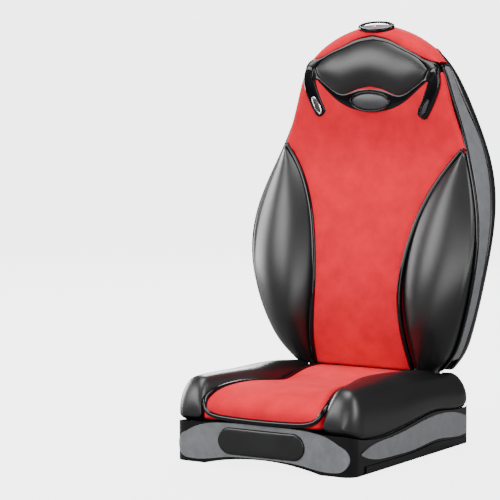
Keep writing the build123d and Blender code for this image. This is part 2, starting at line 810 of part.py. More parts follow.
def cap_face(lift=0.0):
    """Front-view face of everything above the surround's upper edge."""
    right = [(x, z + lift) for x, z in share_points(trim_top)]
    with BuildSketch(Plane.XZ) as face:
        with BuildLine():
            edge = Spline(*[(-x, z) for x, z in reversed(right[1:])], *right)
            Polyline(
                edge @ 1, (edge @ 1) + Vector(0, reach), (edge @ 0) + Vector(0, reach), edge @ 0
            )
        make_face()
    return face.sketch


def ellipse_face(place, half_wide, half_high, hole_wide=0.0, hole_high=0.0):
    """Front-view oval, or oval ring, at a place given as x and height."""
    with BuildSketch(Plane.XZ) as face:
        with Locations(place):
            Ellipse(half_wide, half_high)
            if hole_wide:
                Ellipse(hole_wide, hole_high, mode=Mode.SUBTRACT)
    return face.sketch


badge_place = share_points([(0.0, badge_height)])[0]
emblem_place = share_points([(0.0, emblem_height)])[0]

# Red centre pad, up to the surround and out to the edge above the bolsters.
with BuildPart() as back_centre_pad:
    with BuildSketch(Plane.XZ):
        with BuildLine():
            right_edge = Spline(*front_points(pad_edge, 1, piping_width / 2))
            left_edge = Spline(*front_points(pad_edge, -1, piping_width / 2))
            Line(right_edge @ 0, left_edge @ 0)
            Polyline(
                right_edge @ 1, (right_edge @ 1) + Vector(0, reach),
                (left_edge @ 1) + Vector(0, reach), left_edge @ 1,
            )
        make_face()
        add(back_face(edge_margin), mode=Mode.INTERSECT)
        add(cap_face(), mode=Mode.SUBTRACT)
        add(trim_face(pad_gap), mode=Mode.SUBTRACT)
    extrude(amount=reach, both=True)
    extrude(pad_band, amount=reach, both=True, mode=Mode.INTERSECT)
write(back_centre_pad, "back_centre_pad")

# Crowned side bolsters: sections across the seat, trimmed to the space between the trims.
edge_by_height = [(z, x) for x, z in pad_edge]
side_by_height = [(z, x) for x, z in back_side]
for name, side in (("right", 1), ("left", -1)):
    with BuildPart() as back_bolster:
        for share, crown in bolster_levels:
            inner_x = level(edge_by_height, share) * back_half_width
            outer_x = level(side_by_height, share) * back_half_width
            front = level(pad_front, share)
            rear = level(board_front, share)
            with BuildSketch(Plane.XY.offset(back_bottom + share * back_height)):
                with BuildLine():
                    surface = Spline(
                        (side * (inner_x - 2.0), front),
                        (side * (0.65 * inner_x + 0.35 * outer_x), front - crown * bolster_crown),
                        (side * (0.25 * inner_x + 0.75 * outer_x), 0.5 * front + 0.5 * rear - 6.0),
                        (side * (outer_x + 2.0), rear - bezel_depth),
                    )
                    Polyline(
                        surface @ 1, (side * (outer_x + 2.0), rear + 8.0),
                        (side * (inner_x - 2.0), rear + 8.0), surface @ 0,
                    )
                make_face()
        loft()
        with BuildSketch(Plane.XZ):
            add(face_between(
                Plane.XZ, front_points(pad_edge, side, -piping_width / 2),
                [(side * reach, back_bottom + z * back_height) for x, z in pad_edge],
            ))
            add(back_face(bezel_width + pad_gap), mode=Mode.INTERSECT)
        extrude(amount=reach, both=True, mode=Mode.INTERSECT)
        extrude(
            depth_band(pad_front, -2 * bolster_crown, board_front, -clearance),
            amount=reach, both=True, mode=Mode.INTERSECT,
        )
    write(back_bolster, f"back_bolster_{name}")

    # Gloss trim between the centre pad and the bolster.
    with BuildPart() as bolster_trim:
        with BuildSketch(Plane.XZ):
            add(face_between(
                Plane.XZ,
                front_points(pad_edge, side, piping_width / 2 - pad_gap),
                front_points(pad_edge, side, pad_gap - piping_width / 2),
            ))
            add(back_face(bezel_width + pad_gap), mode=Mode.INTERSECT)
        extrude(amount=reach, both=True)
        extrude(trim_band, amount=reach, both=True, mode=Mode.INTERSECT)
        with Locations((0, 0, trim_foot + reach)):
            Box(2 * reach, 4 * reach, 2 * reach, mode=Mode.INTERSECT)
    write(bolster_trim, f"bolster_trim_{name}")

# Gloss bezel round the front edge, wide beside the bolsters and narrow above them.
bezel_step = back_bottom + bezel_narrows * back_height
with BuildSketch(Plane.XZ) as lower_space:
    add(back_face(bezel_width))
    with Locations((0, bezel_step - reach)):
        Rectangle(2 * reach, 2 * reach, mode=Mode.INTERSECT)
with BuildSketch(Plane.XZ) as upper_space:
    add(back_face(edge_margin - pad_gap))
    with Locations((0, bezel_step + reach)):
        Rectangle(2 * reach, 2 * reach, mode=Mode.INTERSECT)

with BuildPart() as back_bezel:
    with BuildSketch(Plane.XZ):
        add(back_face())
        add(lower_space.sketch, mode=Mode.SUBTRACT)
        add(upper_space.sketch, mode=Mode.SUBTRACT)
        add(trim_face(pad_gap), mode=Mode.SUBTRACT)
        add(cap_face(-pad_gap), mode=Mode.SUBTRACT)
        # Open at the foot, where the pads run down to the base.
        with Locations((0, back_bottom)):
            Rectangle(2 * (0.60 * back_half_width - bezel_width), 2 * bezel_width, mode=Mode.SUBTRACT)
    extrude(amount=reach, both=True)
    extrude(
        depth_band(board_front, -bezel_depth, board_front, 0), amount=reach, both=True,
        mode=Mode.INTERSECT,
    )
write(back_bezel, "back_bezel")

# Headrest pad in its surround, with a plain oval badge below it.
with BuildPart() as headrest_pad:
    extrude(headrest_face(), amount=reach, both=True)
    extrude(
        depth_band(pad_front, -headrest_crown, board_front, -clearance), amount=reach,
        both=True, mode=Mode.INTERSECT,
    )
write(headrest_pad, "headrest_pad")

with BuildPart() as headrest_surround:
    with BuildSketch(Plane.XZ):
        add(trim_face())
        add(back_face(), mode=Mode.INTERSECT)
        add(headrest_face(pad_gap), mode=Mode.SUBTRACT)
        add(
            ellipse_face(badge_place, badge_half_width + pad_gap, badge_half_height + pad_gap),
            mode=Mode.SUBTRACT,
        )
    extrude(amount=reach, both=True)
    extrude(trim_band, amount=reach, both=True, mode=Mode.INTERSECT)
write(headrest_surround, "headrest_surround")

with BuildPart() as headrest_badge:
    extrude(ellipse_face(badge_place, badge_half_width, badge_half_height), amount=reach, both=True)
    extrude(
        depth_band(pad_front, -trim_proud - 2.0, board_front, -clearance), amount=reach,
        both=True, mode=Mode.INTERSECT,
    )
write(headrest_badge, "headrest_badge")

# ================================================================ cap and badges
badge_plane = Plane(
    origin=(0, top_badge_y, back_bottom + back_height - top_badge_sink), x_dir=(1, 0, 0),
    z_dir=Vector(0, 0, 1).rotate(Axis.X, top_badge_tilt),
)
with BuildPart() as badge_pocket:
    with BuildSketch(badge_plane):
        Ellipse(top_badge_half_width + clearance, top_badge_half_depth + clearance)
    extrude(amount=60.0)

# Red cap over the top, seated on the carrier and reaching back over the shell.
cap_step = min(y for z, y in board_front if z > 0.7) - 1.5
with BuildPart() as top_cap:
    with BuildSketch(Plane.XZ.offset(-cap_split)):
        add(back_face(cap_inset))
        with Locations((0, shell_top + clearance + reach)):
            Rectangle(2 * reach, 2 * reach, mode=Mode.INTERSECT)
    extrude(amount=-reach)
    with BuildSketch(Plane.XZ):
        add(cap_face(trim_gap))
        add(back_face(cap_inset), mode=Mode.INTERSECT)
    extrude(amount=reach, both=True)
    with BuildSketch(Plane.YZ):
        with BuildLine():
            down_front = Spline(*[(y, back_top - drop) for y, drop in cap_front])
            down_back = Spline(*[(y, back_top - drop) for y, drop in cap_back])
            Polyline(
                down_front @ 1, (cap_step, (down_front @ 1).Y),
                (cap_step, shell_top + clearance), down_back @ 1,
            )
        make_face()
    extrude(amount=reach, both=True, mode=Mode.INTERSECT)
    add(badge_pocket.part, mode=Mode.SUBTRACT)
write(top_cap, "top_cap")

with BuildPart() as top_badge_ring:
    with BuildSketch(badge_plane):
        Ellipse(top_badge_half_width, top_badge_half_depth)
        Ellipse(
            top_badge_half_width - ring_width, top_badge_half_depth - ring_width,
            mode=Mode.SUBTRACT,
        )
    extrude(amount=ring_height)
write(top_badge_ring, "top_badge_ring")

with BuildPart() as top_badge_lens:
    with BuildSketch(badge_plane):
        Ellipse(
            top_badge_half_width - ring_width - clearance,
            top_badge_half_depth - ring_width - clearance,
        )
    extrude(amount=ring_height - 1.0)
write(top_badge_lens, "top_badge_lens")

# Oval emblem, a ring and a blank disc, on the rear of the shell.
for name, outer, hole in (
    ("rear_emblem_ring", 0.0, ring_width), ("rear_emblem_disc", ring_width + clearance, 0.0),
):
    with BuildPart() as emblem:
        extrude(
            ellipse_face(
                emblem_place, emblem_half_width - outer, emblem_half_height - outer,
                (emblem_half_width - hole) if hole else 0.0,
                (emblem_half_height - hole) if hole else 0.0,
            ),
            amount=-reach,
        )
        extrude(
            depth_band(shell_rear, -3 * wall, shell_rear, 3.0 if hole else 1.5), amount=reach,
            both=True, mode=Mode.INTERSECT,
        )
        add(shell_body(0.0), mode=Mode.SUBTRACT)
    write(emblem, name)

# ================================================================ backrest frame and hinges
arm_x = bracket_x + plate_thickness + plate_gap
tube_x = arm_x - side_tube_radius
with BuildPart() as back_frame:
    for side in (-1, 1):
        with BuildLine(Plane.YZ.offset(side * tube_x)) as run:
            FilletPolyline(
                *[(y, back_bottom + z * back_height) for z, y in tube_route], radius=tube_bend
            )
        with BuildSketch(Plane(origin=run.line @ 0, z_dir=run.line % 0)):
            Circle(side_tube_radius)
            Circle(side_tube_radius - tube_wall, mode=Mode.SUBTRACT)
        sweep(path=run.line)
    for share, y in cross_tubes:
        with BuildSketch(Plane.YZ.offset(-tube_x)):
            with Locations((y, back_bottom + share * back_height)):
                Circle(cross_tube_radius)
                Circle(cross_tube_radius - tube_wall, mode=Mode.SUBTRACT)
        extrude(amount=2 * tube_x)
write(back_frame, "back_frame")

# Saddles that seat the side tubes on the back of the carrier panel.
with BuildPart() as tube_space:
    for side in (-1, 1):
        with BuildLine(Plane.YZ.offset(side * tube_x)) as run:
            FilletPolyline(
                *[(y, back_bottom + z * back_height) for z, y in tube_route], radius=tube_bend
            )
        with BuildSketch(Plane(origin=run.line @ 0, z_dir=run.line % 0)):
            Circle(side_tube_radius + clearance)
        sweep(path=run.line)

with BuildPart() as frame_saddles:
    with BuildSketch(Plane.XZ):
        for share, _ in saddles:
            with Locations((0, back_bottom + share * back_height)):
                with GridLocations(2 * tube_x, 1, 2, 1):
                    Rectangle(2 * side_tube_radius + 8.0, saddle_height)
    extrude(amount=reach, both=True)
    with BuildSketch(Plane.YZ):
        for share, tube_y in saddles:
            with Locations((tube_y - reach / 2, back_bottom + share * back_height)):
                Rectangle(reach, saddle_height + 1.0)
    extrude(amount=reach, both=True, mode=Mode.INTERSECT)
    extrude(
        depth_band(board_front, board_thickness + clearance, board_front, reach), amount=reach,
        both=True, mode=Mode.INTERSECT,
    )
    add(tube_space.part, mode=Mode.SUBTRACT)
write(frame_saddles, "frame_saddles")

for name, side in (("left", -1), ("right", 1)):
    arm_plane = Plane.YZ.offset(side * arm_x)
    with BuildPart() as arm:
        with BuildSketch(arm_plane):
            with BuildLine():
                Polyline(
                    (pivot_y - bracket_width / 2, pivot_z), (pivot_y + bracket_width / 2, pivot_z),
                    *[(pivot_y + y, pivot_z + z) for y, z in arm_outline],
                    close=True,
                )
            make_face()
            with Locations((pivot_y, pivot_z)):
                Circle(bracket_width / 2)
        extrude(amount=side * plate_thickness)
        with BuildSketch(arm_plane):
            with Locations((pivot_y, pivot_z)):
                Circle(pivot_radius + running_clearance)
        extrude(amount=side * plate_thickness, mode=Mode.SUBTRACT)
    write(arm, f"recliner_arm_{name}")

    with BuildPart() as washer:
        with BuildSketch(Plane.YZ.offset(side * (bracket_x + plate_thickness))):
            with Locations((pivot_y, pivot_z)):
                Circle(bracket_width / 2)
                Circle(pivot_radius + running_clearance, mode=Mode.SUBTRACT)
        extrude(amount=side * (plate_gap - clearance))
    write(washer, f"friction_washer_{name}")

    with BuildPart() as cover:
        with BuildSketch(Plane.YZ.offset(side * cover_x)):
            with Locations((pivot_y, pivot_z)):
                Circle(cover_radius)
        extrude(amount=side * cover_thickness)
        fillet(cover.faces().sort_by(Axis.X)[-1 if side > 0 else 0].edges(), 2.0)
    write(cover, f"hinge_cover_{name}")
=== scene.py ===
import json
import math

import bmesh
import bpy
import numpy as np
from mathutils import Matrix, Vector


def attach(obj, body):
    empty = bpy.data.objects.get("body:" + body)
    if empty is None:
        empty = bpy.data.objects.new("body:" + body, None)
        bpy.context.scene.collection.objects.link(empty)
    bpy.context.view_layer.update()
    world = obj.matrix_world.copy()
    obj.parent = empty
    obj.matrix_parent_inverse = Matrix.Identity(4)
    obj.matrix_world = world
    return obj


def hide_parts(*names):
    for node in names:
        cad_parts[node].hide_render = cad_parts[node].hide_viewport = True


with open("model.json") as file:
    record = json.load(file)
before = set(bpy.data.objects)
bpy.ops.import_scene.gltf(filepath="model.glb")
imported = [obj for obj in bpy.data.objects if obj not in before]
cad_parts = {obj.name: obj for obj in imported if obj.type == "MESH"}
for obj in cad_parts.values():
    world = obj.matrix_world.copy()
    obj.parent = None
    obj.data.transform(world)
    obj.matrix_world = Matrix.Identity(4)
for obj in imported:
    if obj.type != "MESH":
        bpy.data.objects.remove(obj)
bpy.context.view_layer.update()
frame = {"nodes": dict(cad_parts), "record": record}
nodes = frame["nodes"]
MM = 0.001

# ------------------------------------------------------------------ shape tables, millimetres
HALF_DEPTH = 255.0
BACK_BOTTOM, BACK_HEIGHT, BACK_HALF = 152.0, 726.0, 271.0
BACK_TOP = BACK_BOTTOM + BACK_HEIGHT
SHELL_TOP = BACK_TOP - 49.0
CUSHION_FLOOR = 92.0            # underside of the centre cushion
BOLSTER_OUTSIDE = 212.0         # outer face of the seat bolsters
HINGE_Y, HINGE_Z = 222.0, 166.0
HINGE_CLEARANCE = 68.0          # radius that the base keeps free round the hinge
HEADREST_HALF = 134.0
CAP_HALF = 154.0
REAR_EMBLEM_Z = 725.0
HOLLOW_HALF = 176.0             # half width over which the base is kept clear of the backrest
RELEASE_HALF, RELEASE_RADIUS, RELEASE_CENTRE = 100.0, 26.5, 50.5

# Along the base, front (-1) to rear (1): edge of the frame, and the cushions' tops and boundary.
FRAME_TOP = [(-1.10, 90), (-.90, 74), (-.62, 65), (-.38, 66), (0, 76), (.38, 85), (.72, 78),
             (1.10, 90)]
SEAT_BOUNDARY = [(-1.03, 139), (-.90, 136), (-.70, 123), (-.52, 109), (-.33, 93), (-.20, 91),
                 (.04, 101), (.40, 111), (.62, 114), (.82, 128), (1.03, 138)]
CENTRE_TOP = [(-1.020, 93), (-1.012, 116), (-.90, 141), (-.72, 153), (-.50, 155), (0, 145),
              (.45, 155), (.72, 151), (.90, 140), (1.012, 116), (1.020, 93)]
BOLSTER_TOP = [(-1.03, 155), (-.95, 162), (-.82, 167), (-.50, 169), (.15, 167), (.52, 158),
               (.78, 150), (.94, 142), (1.03, 134)]
# Front view of the backrest: shares of the half width and of the height.
BACK_SIDE = [(.620, 0), (.768, .058), (.862, .125), (.985, .281), (.996, .430), (.852, .614),
             (.690, .780), (.579, .892), (.413, .950), (.210, .986), (0, 1)]
PAD_EDGE = [(.443, -.03), (.413, .10), (.384, .225), (.413, .35), (.487, .461), (.631, .572),
            (.830, .665)]
# Side view of the backrest: share of the height, distance behind the origin.
PAD_FRONT = [(-.10, 186), (0, 159), (.07, 136), (.17, 121), (.253, 123), (.392, 144), (.558, 179),
             (.64, 193), (.75, 188), (.85, 187), (1.04, 207)]
BOARD_FRONT = [(-.10, 210), (0, 194), (.114, 169), (.253, 151.5), (.392, 159), (.558, 189),
               (.669, 210), (.78, 216), (.892, 215), (1.04, 222)]
BAND_REAR = [(-.10, 254), (0, 236), (.07, 207), (.169, 190), (.253, 184), (.392, 202), (.558, 256),
             (.669, 276), (.753, 262), (.836, 240), (1.04, 248)]
SHELL_REAR = [(0, 272), (.058, 250), (.125, 233), (.281, 221), (.430, 254), (.614, 312),
              (.780, 303), (.892, 267), (.9325, 260)]
# Headrest and its surround, front view, right half, heights at this size.
TRIM_TOP = [(0, 857), (30, 851), (83, 827), (119, 811), (150, 802), (190, 806)]
TRIM_BOWL = [(0, 690), (47, 698), (77, 714), (106, 738), (132, 762)]
HEADREST_TOP = [(0, 848), (36, 842), (73, 827), (112, 809), (134, 788)]
HEADREST_LOW = [(0, 749), (32, 743), (70, 732), (104, 749), (124, 765), (134, 788)]


# ------------------------------------------------------------------ curves
def through(points, count=240):
    """Natural cubic spline through the points on chord length, read at even steps.

    Between two points it is (m0 v^3 + m1 u^3) / 6h + (p0/h - m0 h/6) v + (p1/h - m1 h/6) u,
    where u and v are the distances from the two points and m solves the spline's continuity.
    """
    p = np.asarray(points, float)
    chord = np.r_[0.0, np.cumsum(np.linalg.norm(np.diff(p, axis=0), axis=1))]
    h = np.diff(chord)
    n = len(p)
    a = np.zeros((n, n))
    b = np.zeros_like(p)
    a[0, 0] = a[-1, -1] = 1.0
    i = np.arange(1, n - 1)
    a[i, i - 1], a[i, i], a[i, i + 1] = h[:-1], 2 * (h[:-1] + h[1:]), h[1:]
    b[1:-1] = 6 * np.diff(np.diff(p, axis=0) / h[:, None], axis=0)
    m = np.linalg.solve(a, b)
    t = np.linspace(0, chord[-1], count)
    k = np.clip(np.searchsorted(chord, t, side="right") - 1, 0, n - 2)
    u, v, hk = (t - chord[k])[:, None], (chord[k + 1] - t)[:, None], h[k][:, None]
    return (m[k] * v**3 + m[k + 1] * u**3) / (6 * hk) + (p[k] / hk - m[k] * hk / 6) * v + (
        p[k + 1] / hk - m[k + 1] * hk / 6
    ) * u


def value(points, where, scale=(1.0, 1.0)):
    """Second coordinate of the spline through the points where its first is `where`."""
    curve = through(np.asarray(points, float) * scale, 600)
    curve = curve[np.argsort(curve[:, 0])]
    return np.interp(where, curve[:, 0], curve[:, 1])


def along(points, z):
    """Depth of a side-view curve of the backrest at heights z."""
    return value([(s * BACK_HEIGHT, y) for s, y in points], np.asarray(z) - BACK_BOTTOM)


def contour(z, inset=0.0):
    """Half width of the backrest at heights z."""
    points = [(s * BACK_HEIGHT, x * BACK_HALF) for x, s in BACK_SIDE]
    return np.maximum(value(points, np.asarray(z) - BACK_BOTTOM) - inset, 0.0)


def pad_edge(z):
    """Distance from the middle to the joint between centre pad and bolster at heights z."""
    points = [(s * BACK_HEIGHT, x * BACK_HALF) for x, s in PAD_EDGE]
    return value(points, np.asarray(z) - BACK_BOTTOM)


def rounded_steps(low, high, count):
    """Stations from low to high that crowd together towards both ends, as a cosine does."""
    return low + (high - low) * (1 - np.cos(np.linspace(0, math.pi, count))) / 2


def end_round(stations, low_radius, high_radius):
    """Share of full depth near each end: a quarter circle over the radius given for that end."""
    low, high = stations[0], stations[-1]
    a = np.clip(1 - (stations - low) / max(low_radius, 1e-6), 0, 1)
    b = np.clip(1 - (high - stations) / max(high_radius, 1e-6), 0, 1)
    return np.sqrt(np.clip(1 - a**2, 0, 1)) * np.sqrt(np.clip(1 - b**2, 0, 1))


# ------------------------------------------------------------------ meshes
def mesh_piece(name, rows, closed=True, capped=False):
    """Object from an (n, m, 3) grid of points in millimetres, joined row to row.

    A closed grid joins its last column to its first. A capped one gets a fan at each end.
    Points that coincide are merged, and faces are turned outwards by the sign of the volume.
    """
    n, m, _ = rows.shape
    points = rows.reshape(-1, 3)
    r, c = np.meshgrid(np.arange(n - 1), np.arange(m if closed else m - 1), indexing="ij")
    c2 = (c + 1) % m
    faces = np.stack([r * m + c, r * m + c2, (r + 1) * m + c2, (r + 1) * m + c], -1).reshape(-1, 4)
    faces = faces.tolist()
    if capped:
        for row, flip in ((0, True), (n - 1, False)):
            middle = len(points)
            points = np.vstack([points, rows[row].mean(0)])
            ring = [row * m + k for k in range(m)]
            pairs = zip(ring, ring[1:] + ring[:1])
            faces += [[b, a, middle] if flip else [a, b, middle] for a, b in pairs]
    mesh = bpy.data.meshes.new(name)
    mesh.from_pydata((points * MM).tolist(), [], faces)
    work = bmesh.new()
    work.from_mesh(mesh)
    bmesh.ops.remove_doubles(work, verts=work.verts, dist=2e-6)
    bmesh.ops.dissolve_degenerate(work, edges=work.edges, dist=1e-7)
    if work.calc_volume(signed=True) < 0:
        bmesh.ops.reverse_faces(work, faces=work.faces)
    work.to_mesh(mesh)
    work.free()
    mesh.polygons.foreach_set("use_smooth", np.ones(len(mesh.polygons), bool))
    piece = bpy.data.objects.new(name, mesh)
    bpy.context.scene.collection.objects.link(piece)
    return piece


def pillow(
    name, stations, low, high, front, edge, back, place,
    ends=(0, 0), square=(0.55, 0.55), count=64,
):
    """Closed soft form: at each station a closed section runs from low to high and back.

    With the angle a round the section, across = mid + half * cos(a)^q and the depth is
    edge + (front - edge) * sin(a)^p on the near side, and the same with back on the far side.
    q and p are `square`; front, edge and back are arrays per station or functions of
    (stations, across, share across). At both ends the depths shrink onto the edge line.
    """
    angle = np.linspace(0, 2 * math.pi, count, endpoint=False)
    c, s = np.cos(angle), np.sin(angle)
    across_share = np.sign(c) * np.abs(c) ** square[0]
    rise = np.abs(s) ** square[1]
    mid, half = (low + high) / 2, (high - low) / 2
    across = mid[:, None] + half[:, None] * across_share[None, :]
    share = np.broadcast_to(across_share[None, :], across.shape)

    def depth(what):
        if callable(what):
            return what(stations[:, None], across, share)
        return np.broadcast_to(np.asarray(what, float).reshape(-1, 1), across.shape)

    shrink = end_round(stations, *ends)[:, None] if any(ends) else 1.0
    f, e, b = depth(front), depth(edge), depth(back)
    full = np.where(s[None, :] >= 0, f, b)
    level = e + (full - e) * rise[None, :] * shrink
    rows = place(np.broadcast_to(stations[:, None], across.shape), across, level)
    return mesh_piece(name, rows)


def strip(
    name, path, half, front, back, square=0.45, offset=0.0, closed=False, count=24, tuck=0.0,
):
    """Rounded strip along a front-view path: half wide in that view, from front to back in depth.

    The section is (half * cos(a)^q, mid depth - half depth * sin(a)^q) carried along the path's
    in-plane normal; at open ends it shrinks as a quarter circle over `tuck`.
    """
    ahead = np.roll(path, -1, 0) - np.roll(path, 1, 0) if closed else np.gradient(path, axis=0)
    ahead = ahead / np.linalg.norm(ahead, axis=1, keepdims=True)
    normal = np.stack([ahead[:, 1], -ahead[:, 0]], 1)
    angle = np.linspace(0, 2 * math.pi, count, endpoint=False)
    c, s = np.cos(angle), np.sin(angle)
    out = np.sign(c) * np.abs(c) ** square
    deep = np.sign(s) * np.abs(s) ** square
    run = np.r_[0, np.cumsum(np.linalg.norm(np.diff(path, axis=0), axis=1))]
    shrink = end_round(run, tuck, tuck) if tuck else np.ones(len(path))
    half = np.broadcast_to(np.asarray(half, float), (len(path),)) * shrink
    away = offset + half[:, None] * out[None, :]
    xz = path[:, None, :] + away[..., None] * normal[:, None, :]
    mid, size = (front + back) / 2, (back - front) / 2 * shrink
    y = mid[:, None] - size[:, None] * deep[None, :]
    rows = np.stack([xz[..., 0], y, xz[..., 1]], -1)
    if closed:
        rows = np.concatenate([rows, rows[:1]])
    return mesh_piece(name, rows, capped=not closed)


def upright(station, across, level):
    """Section at a height: x across, y deep."""
    return np.stack([across, level, station], -1)


def sideways(station, across, level):
    """Section at an x: z across, y deep."""
    return np.stack([station, level, across], -1)


def lengthways(station, across, level):
    """Section at a y: x across, z as its depth."""
    return np.stack([across, station, level], -1)


def mirrored(place):
    """The same section on the other side of the seat."""
    flip = np.array([-1.0, 1.0, 1.0])
    return lambda station, across, level: place(station, across, level) * flip


# ------------------------------------------------------------------ shader groups
def new_group(name, inputs, outputs):
    """Empty shader group with float inputs (name, default) and named outputs."""
    group = bpy.data.node_groups.new(name, "ShaderNodeTree")
    for label, default in inputs:
        socket = group.interface.new_socket(label, in_out="INPUT", socket_type="NodeSocketFloat")
        socket.default_value = default
    for label, kind in outputs:
        group.interface.new_socket(label, in_out="OUTPUT", socket_type=kind)
    return group, group.nodes.new("NodeGroupInput"), group.nodes.new("NodeGroupOutput")


def scaled_coordinates(tree, source, stretch=(1, 1, 1)):
    """Object coordinates times a scale input and a fixed stretch."""
    place = tree.nodes.new("ShaderNodeTexCoord")
    scale = tree.nodes.new("ShaderNodeVectorMath")
    scale.operation = "SCALE"
    tree.links.new(place.outputs["Object"], scale.inputs[0])
    tree.links.new(source, scale.inputs["Scale"])
    pull = tree.nodes.new("ShaderNodeVectorMath")
    pull.operation = "MULTIPLY"
    pull.inputs[1].default_value = stretch
    tree.links.new(scale.outputs[0], pull.inputs[0])
    return pull.outputs[0]


def noise_group(name, detail, stretch=(1, 1, 1), cells=False):
    """Group giving a grain value between 0 and 1 and a normal bumped by it."""
    group, given, out = new_group(
        name, [("Scale", 100.0), ("Strength", 0.2), ("Distance", 0.001)],
        [("Value", "NodeSocketFloat"), ("Normal", "NodeSocketVector")],
    )
    where = scaled_coordinates(group, given.outputs["Scale"], stretch)
    noise = group.nodes.new("ShaderNodeTexNoise")
    noise.inputs["Scale"].default_value = 1.0
    noise.inputs["Detail"].default_value = detail
    group.links.new(where, noise.inputs["Vector"])
    grain = noise.outputs["Fac"]
    if cells:
        cell = group.nodes.new("ShaderNodeTexVoronoi")
        cell.feature = "DISTANCE_TO_EDGE"
        cell.inputs["Scale"].default_value = 1.0
        group.links.new(where, cell.inputs["Vector"])
        soft = group.nodes.new("ShaderNodeMapRange")
        soft.interpolation_type = "SMOOTHSTEP"
        soft.inputs["From Max"].default_value = 0.18
        group.links.new(cell.outputs["Distance"], soft.inputs["Value"])
        both = group.nodes.new("ShaderNodeMath")
        both.operation = "MULTIPLY_ADD"
        both.inputs[1].default_value = 0.75
        quarter = group.nodes.new("ShaderNodeMath")
        quarter.operation = "MULTIPLY"
        quarter.inputs[1].default_value = 0.25
        group.links.new(grain, quarter.inputs[0])
        group.links.new(soft.outputs["Result"], both.inputs[0])
        group.links.new(quarter.outputs[0], both.inputs[2])
        grain = both.outputs[0]
    bump = group.nodes.new("ShaderNodeBump")
    group.links.new(given.outputs["Strength"], bump.inputs["Strength"])
    group.links.new(given.outputs["Distance"], bump.inputs["Distance"])
    group.links.new(grain, bump.inputs["Height"])
    group.links.new(grain, out.inputs["Value"])
    group.links.new(bump.outputs["Normal"], out.inputs["Normal"])
    return group


def blend_group():
    """Group mixing a value range by a slow two-scale noise: patches a hand or light leaves."""
    group, given, out = new_group(
        "soft_patches", [("Scale", 20.0), ("Low", 0.0), ("High", 1.0)],
        [("Value", "NodeSocketFloat")],
    )
    where = scaled_coordinates(group, given.outputs["Scale"])
    noise = group.nodes.new("ShaderNodeTexNoise")
    noise.inputs["Scale"].default_value = 1.0
    noise.inputs["Detail"].default_value = 4.0
    noise.inputs["Roughness"].default_value = 0.6
    group.links.new(where, noise.inputs["Vector"])
    spread = group.nodes.new("ShaderNodeMapRange")
    spread.inputs["From Min"].default_value = 0.32
    spread.inputs["From Max"].default_value = 0.68
    group.links.new(noise.outputs["Fac"], spread.inputs["Value"])
    group.links.new(given.outputs["Low"], spread.inputs["To Min"])
    group.links.new(given.outputs["High"], spread.inputs["To Max"])
    group.links.new(spread.outputs["Result"], out.inputs["Value"])
    return group


fine_grain = noise_group("fine_grain", 6.0)
leather_grain = noise_group("leather_grain", 3.0, cells=True)
brushed_grain = noise_group("brushed_grain", 4.0, stretch=(1, 14, 14))
soft_patches = blend_group()


def finish(
    name, dark, light, grain, scale, strength, rough, patch_scale=18.0, distance=0.0006,
    **constants,
):
    """Material: colour between dark and light by slow patches, grain bump, varied roughness."""
    material = bpy.data.materials.new(name)
    material.use_nodes = True
    tree = material.node_tree
    shader = tree.nodes["Principled BSDF"]
    patches = tree.nodes.new("ShaderNodeGroup")
    patches.node_tree = soft_patches
    patches.inputs["Scale"].default_value = patch_scale
    texture = tree.nodes.new("ShaderNodeGroup")
    texture.node_tree = grain
    texture.inputs["Scale"].default_value = scale
    texture.inputs["Strength"].default_value = strength
    texture.inputs["Distance"].default_value = distance
    stir = tree.nodes.new("ShaderNodeMath")
    stir.operation = "MULTIPLY_ADD"
    stir.inputs[1].default_value = 0.35
    less = tree.nodes.new("ShaderNodeMath")
    less.operation = "MULTIPLY"
    less.inputs[1].default_value = 0.65
    tree.links.new(texture.outputs["Value"], stir.inputs[0])
    tree.links.new(patches.outputs["Value"], less.inputs[0])
    tree.links.new(less.outputs[0], stir.inputs[2])
    colour = tree.nodes.new("ShaderNodeMix")
    colour.data_type = "RGBA"
    colour.inputs["A"].default_value = (*dark, 1)
    colour.inputs["B"].default_value = (*light, 1)
    tree.links.new(stir.outputs[0], colour.inputs["Factor"])
    tree.links.new(colour.outputs["Result"], shader.inputs["Base Color"])
    rub = tree.nodes.new("ShaderNodeMapRange")
    rub.inputs["To Min"].default_value = rough[0]
    rub.inputs["To Max"].default_value = rough[1]
    tree.links.new(patches.outputs["Value"], rub.inputs["Value"])
    tree.links.new(rub.outputs["Result"], shader.inputs["Roughness"])
    tree.links.new(texture.outputs["Normal"], shader.inputs["Normal"])
    for label, constant in constants.items():
        shader.inputs[label.replace("_", " ")].default_value = constant
    return material


red_suede = finish(
    "red_suede", (.48, .0, .010), (.68, .003, .022), fine_grain, 900.0, .35, (.82, .95),
    patch_scale=26.0, Sheen_Weight=.05, Sheen_Roughness=.4, Sheen_Tint=(1, .25, .22, 1),
    Specular_IOR_Level=.2,
)
black_leather = finish(
    "black_leather", (.003, .003, .0035), (.007, .007, .008), leather_grain, 760.0, .03, (.35, .40),
    distance=.0001, patch_scale=6.0,
)
gloss_trim = finish(
    "gloss_trim", (.002, .002, .0025), (.005, .005, .006), fine_grain, 300.0, .03, (.09, .13),
    distance=.0001, Specular_IOR_Level=.27,
)
grey_panel = finish(
    "grey_panel", (.105, .108, .115), (.16, .163, .172), fine_grain, 1400.0, .30, (.38, .5),
    patch_scale=60.0, distance=.0003,
)
satin_shell = finish(
    "satin_shell", (.003, .003, .0035), (.006, .006, .007), fine_grain, 1100.0, .08, (.25, .33),
    distance=.0002,
)
release_rubber = finish(
    "release_rubber", (.003, .003, .0035), (.006, .006, .007), fine_grain, 1500.0, .15, (.33, .42),
    distance=.0002,
)
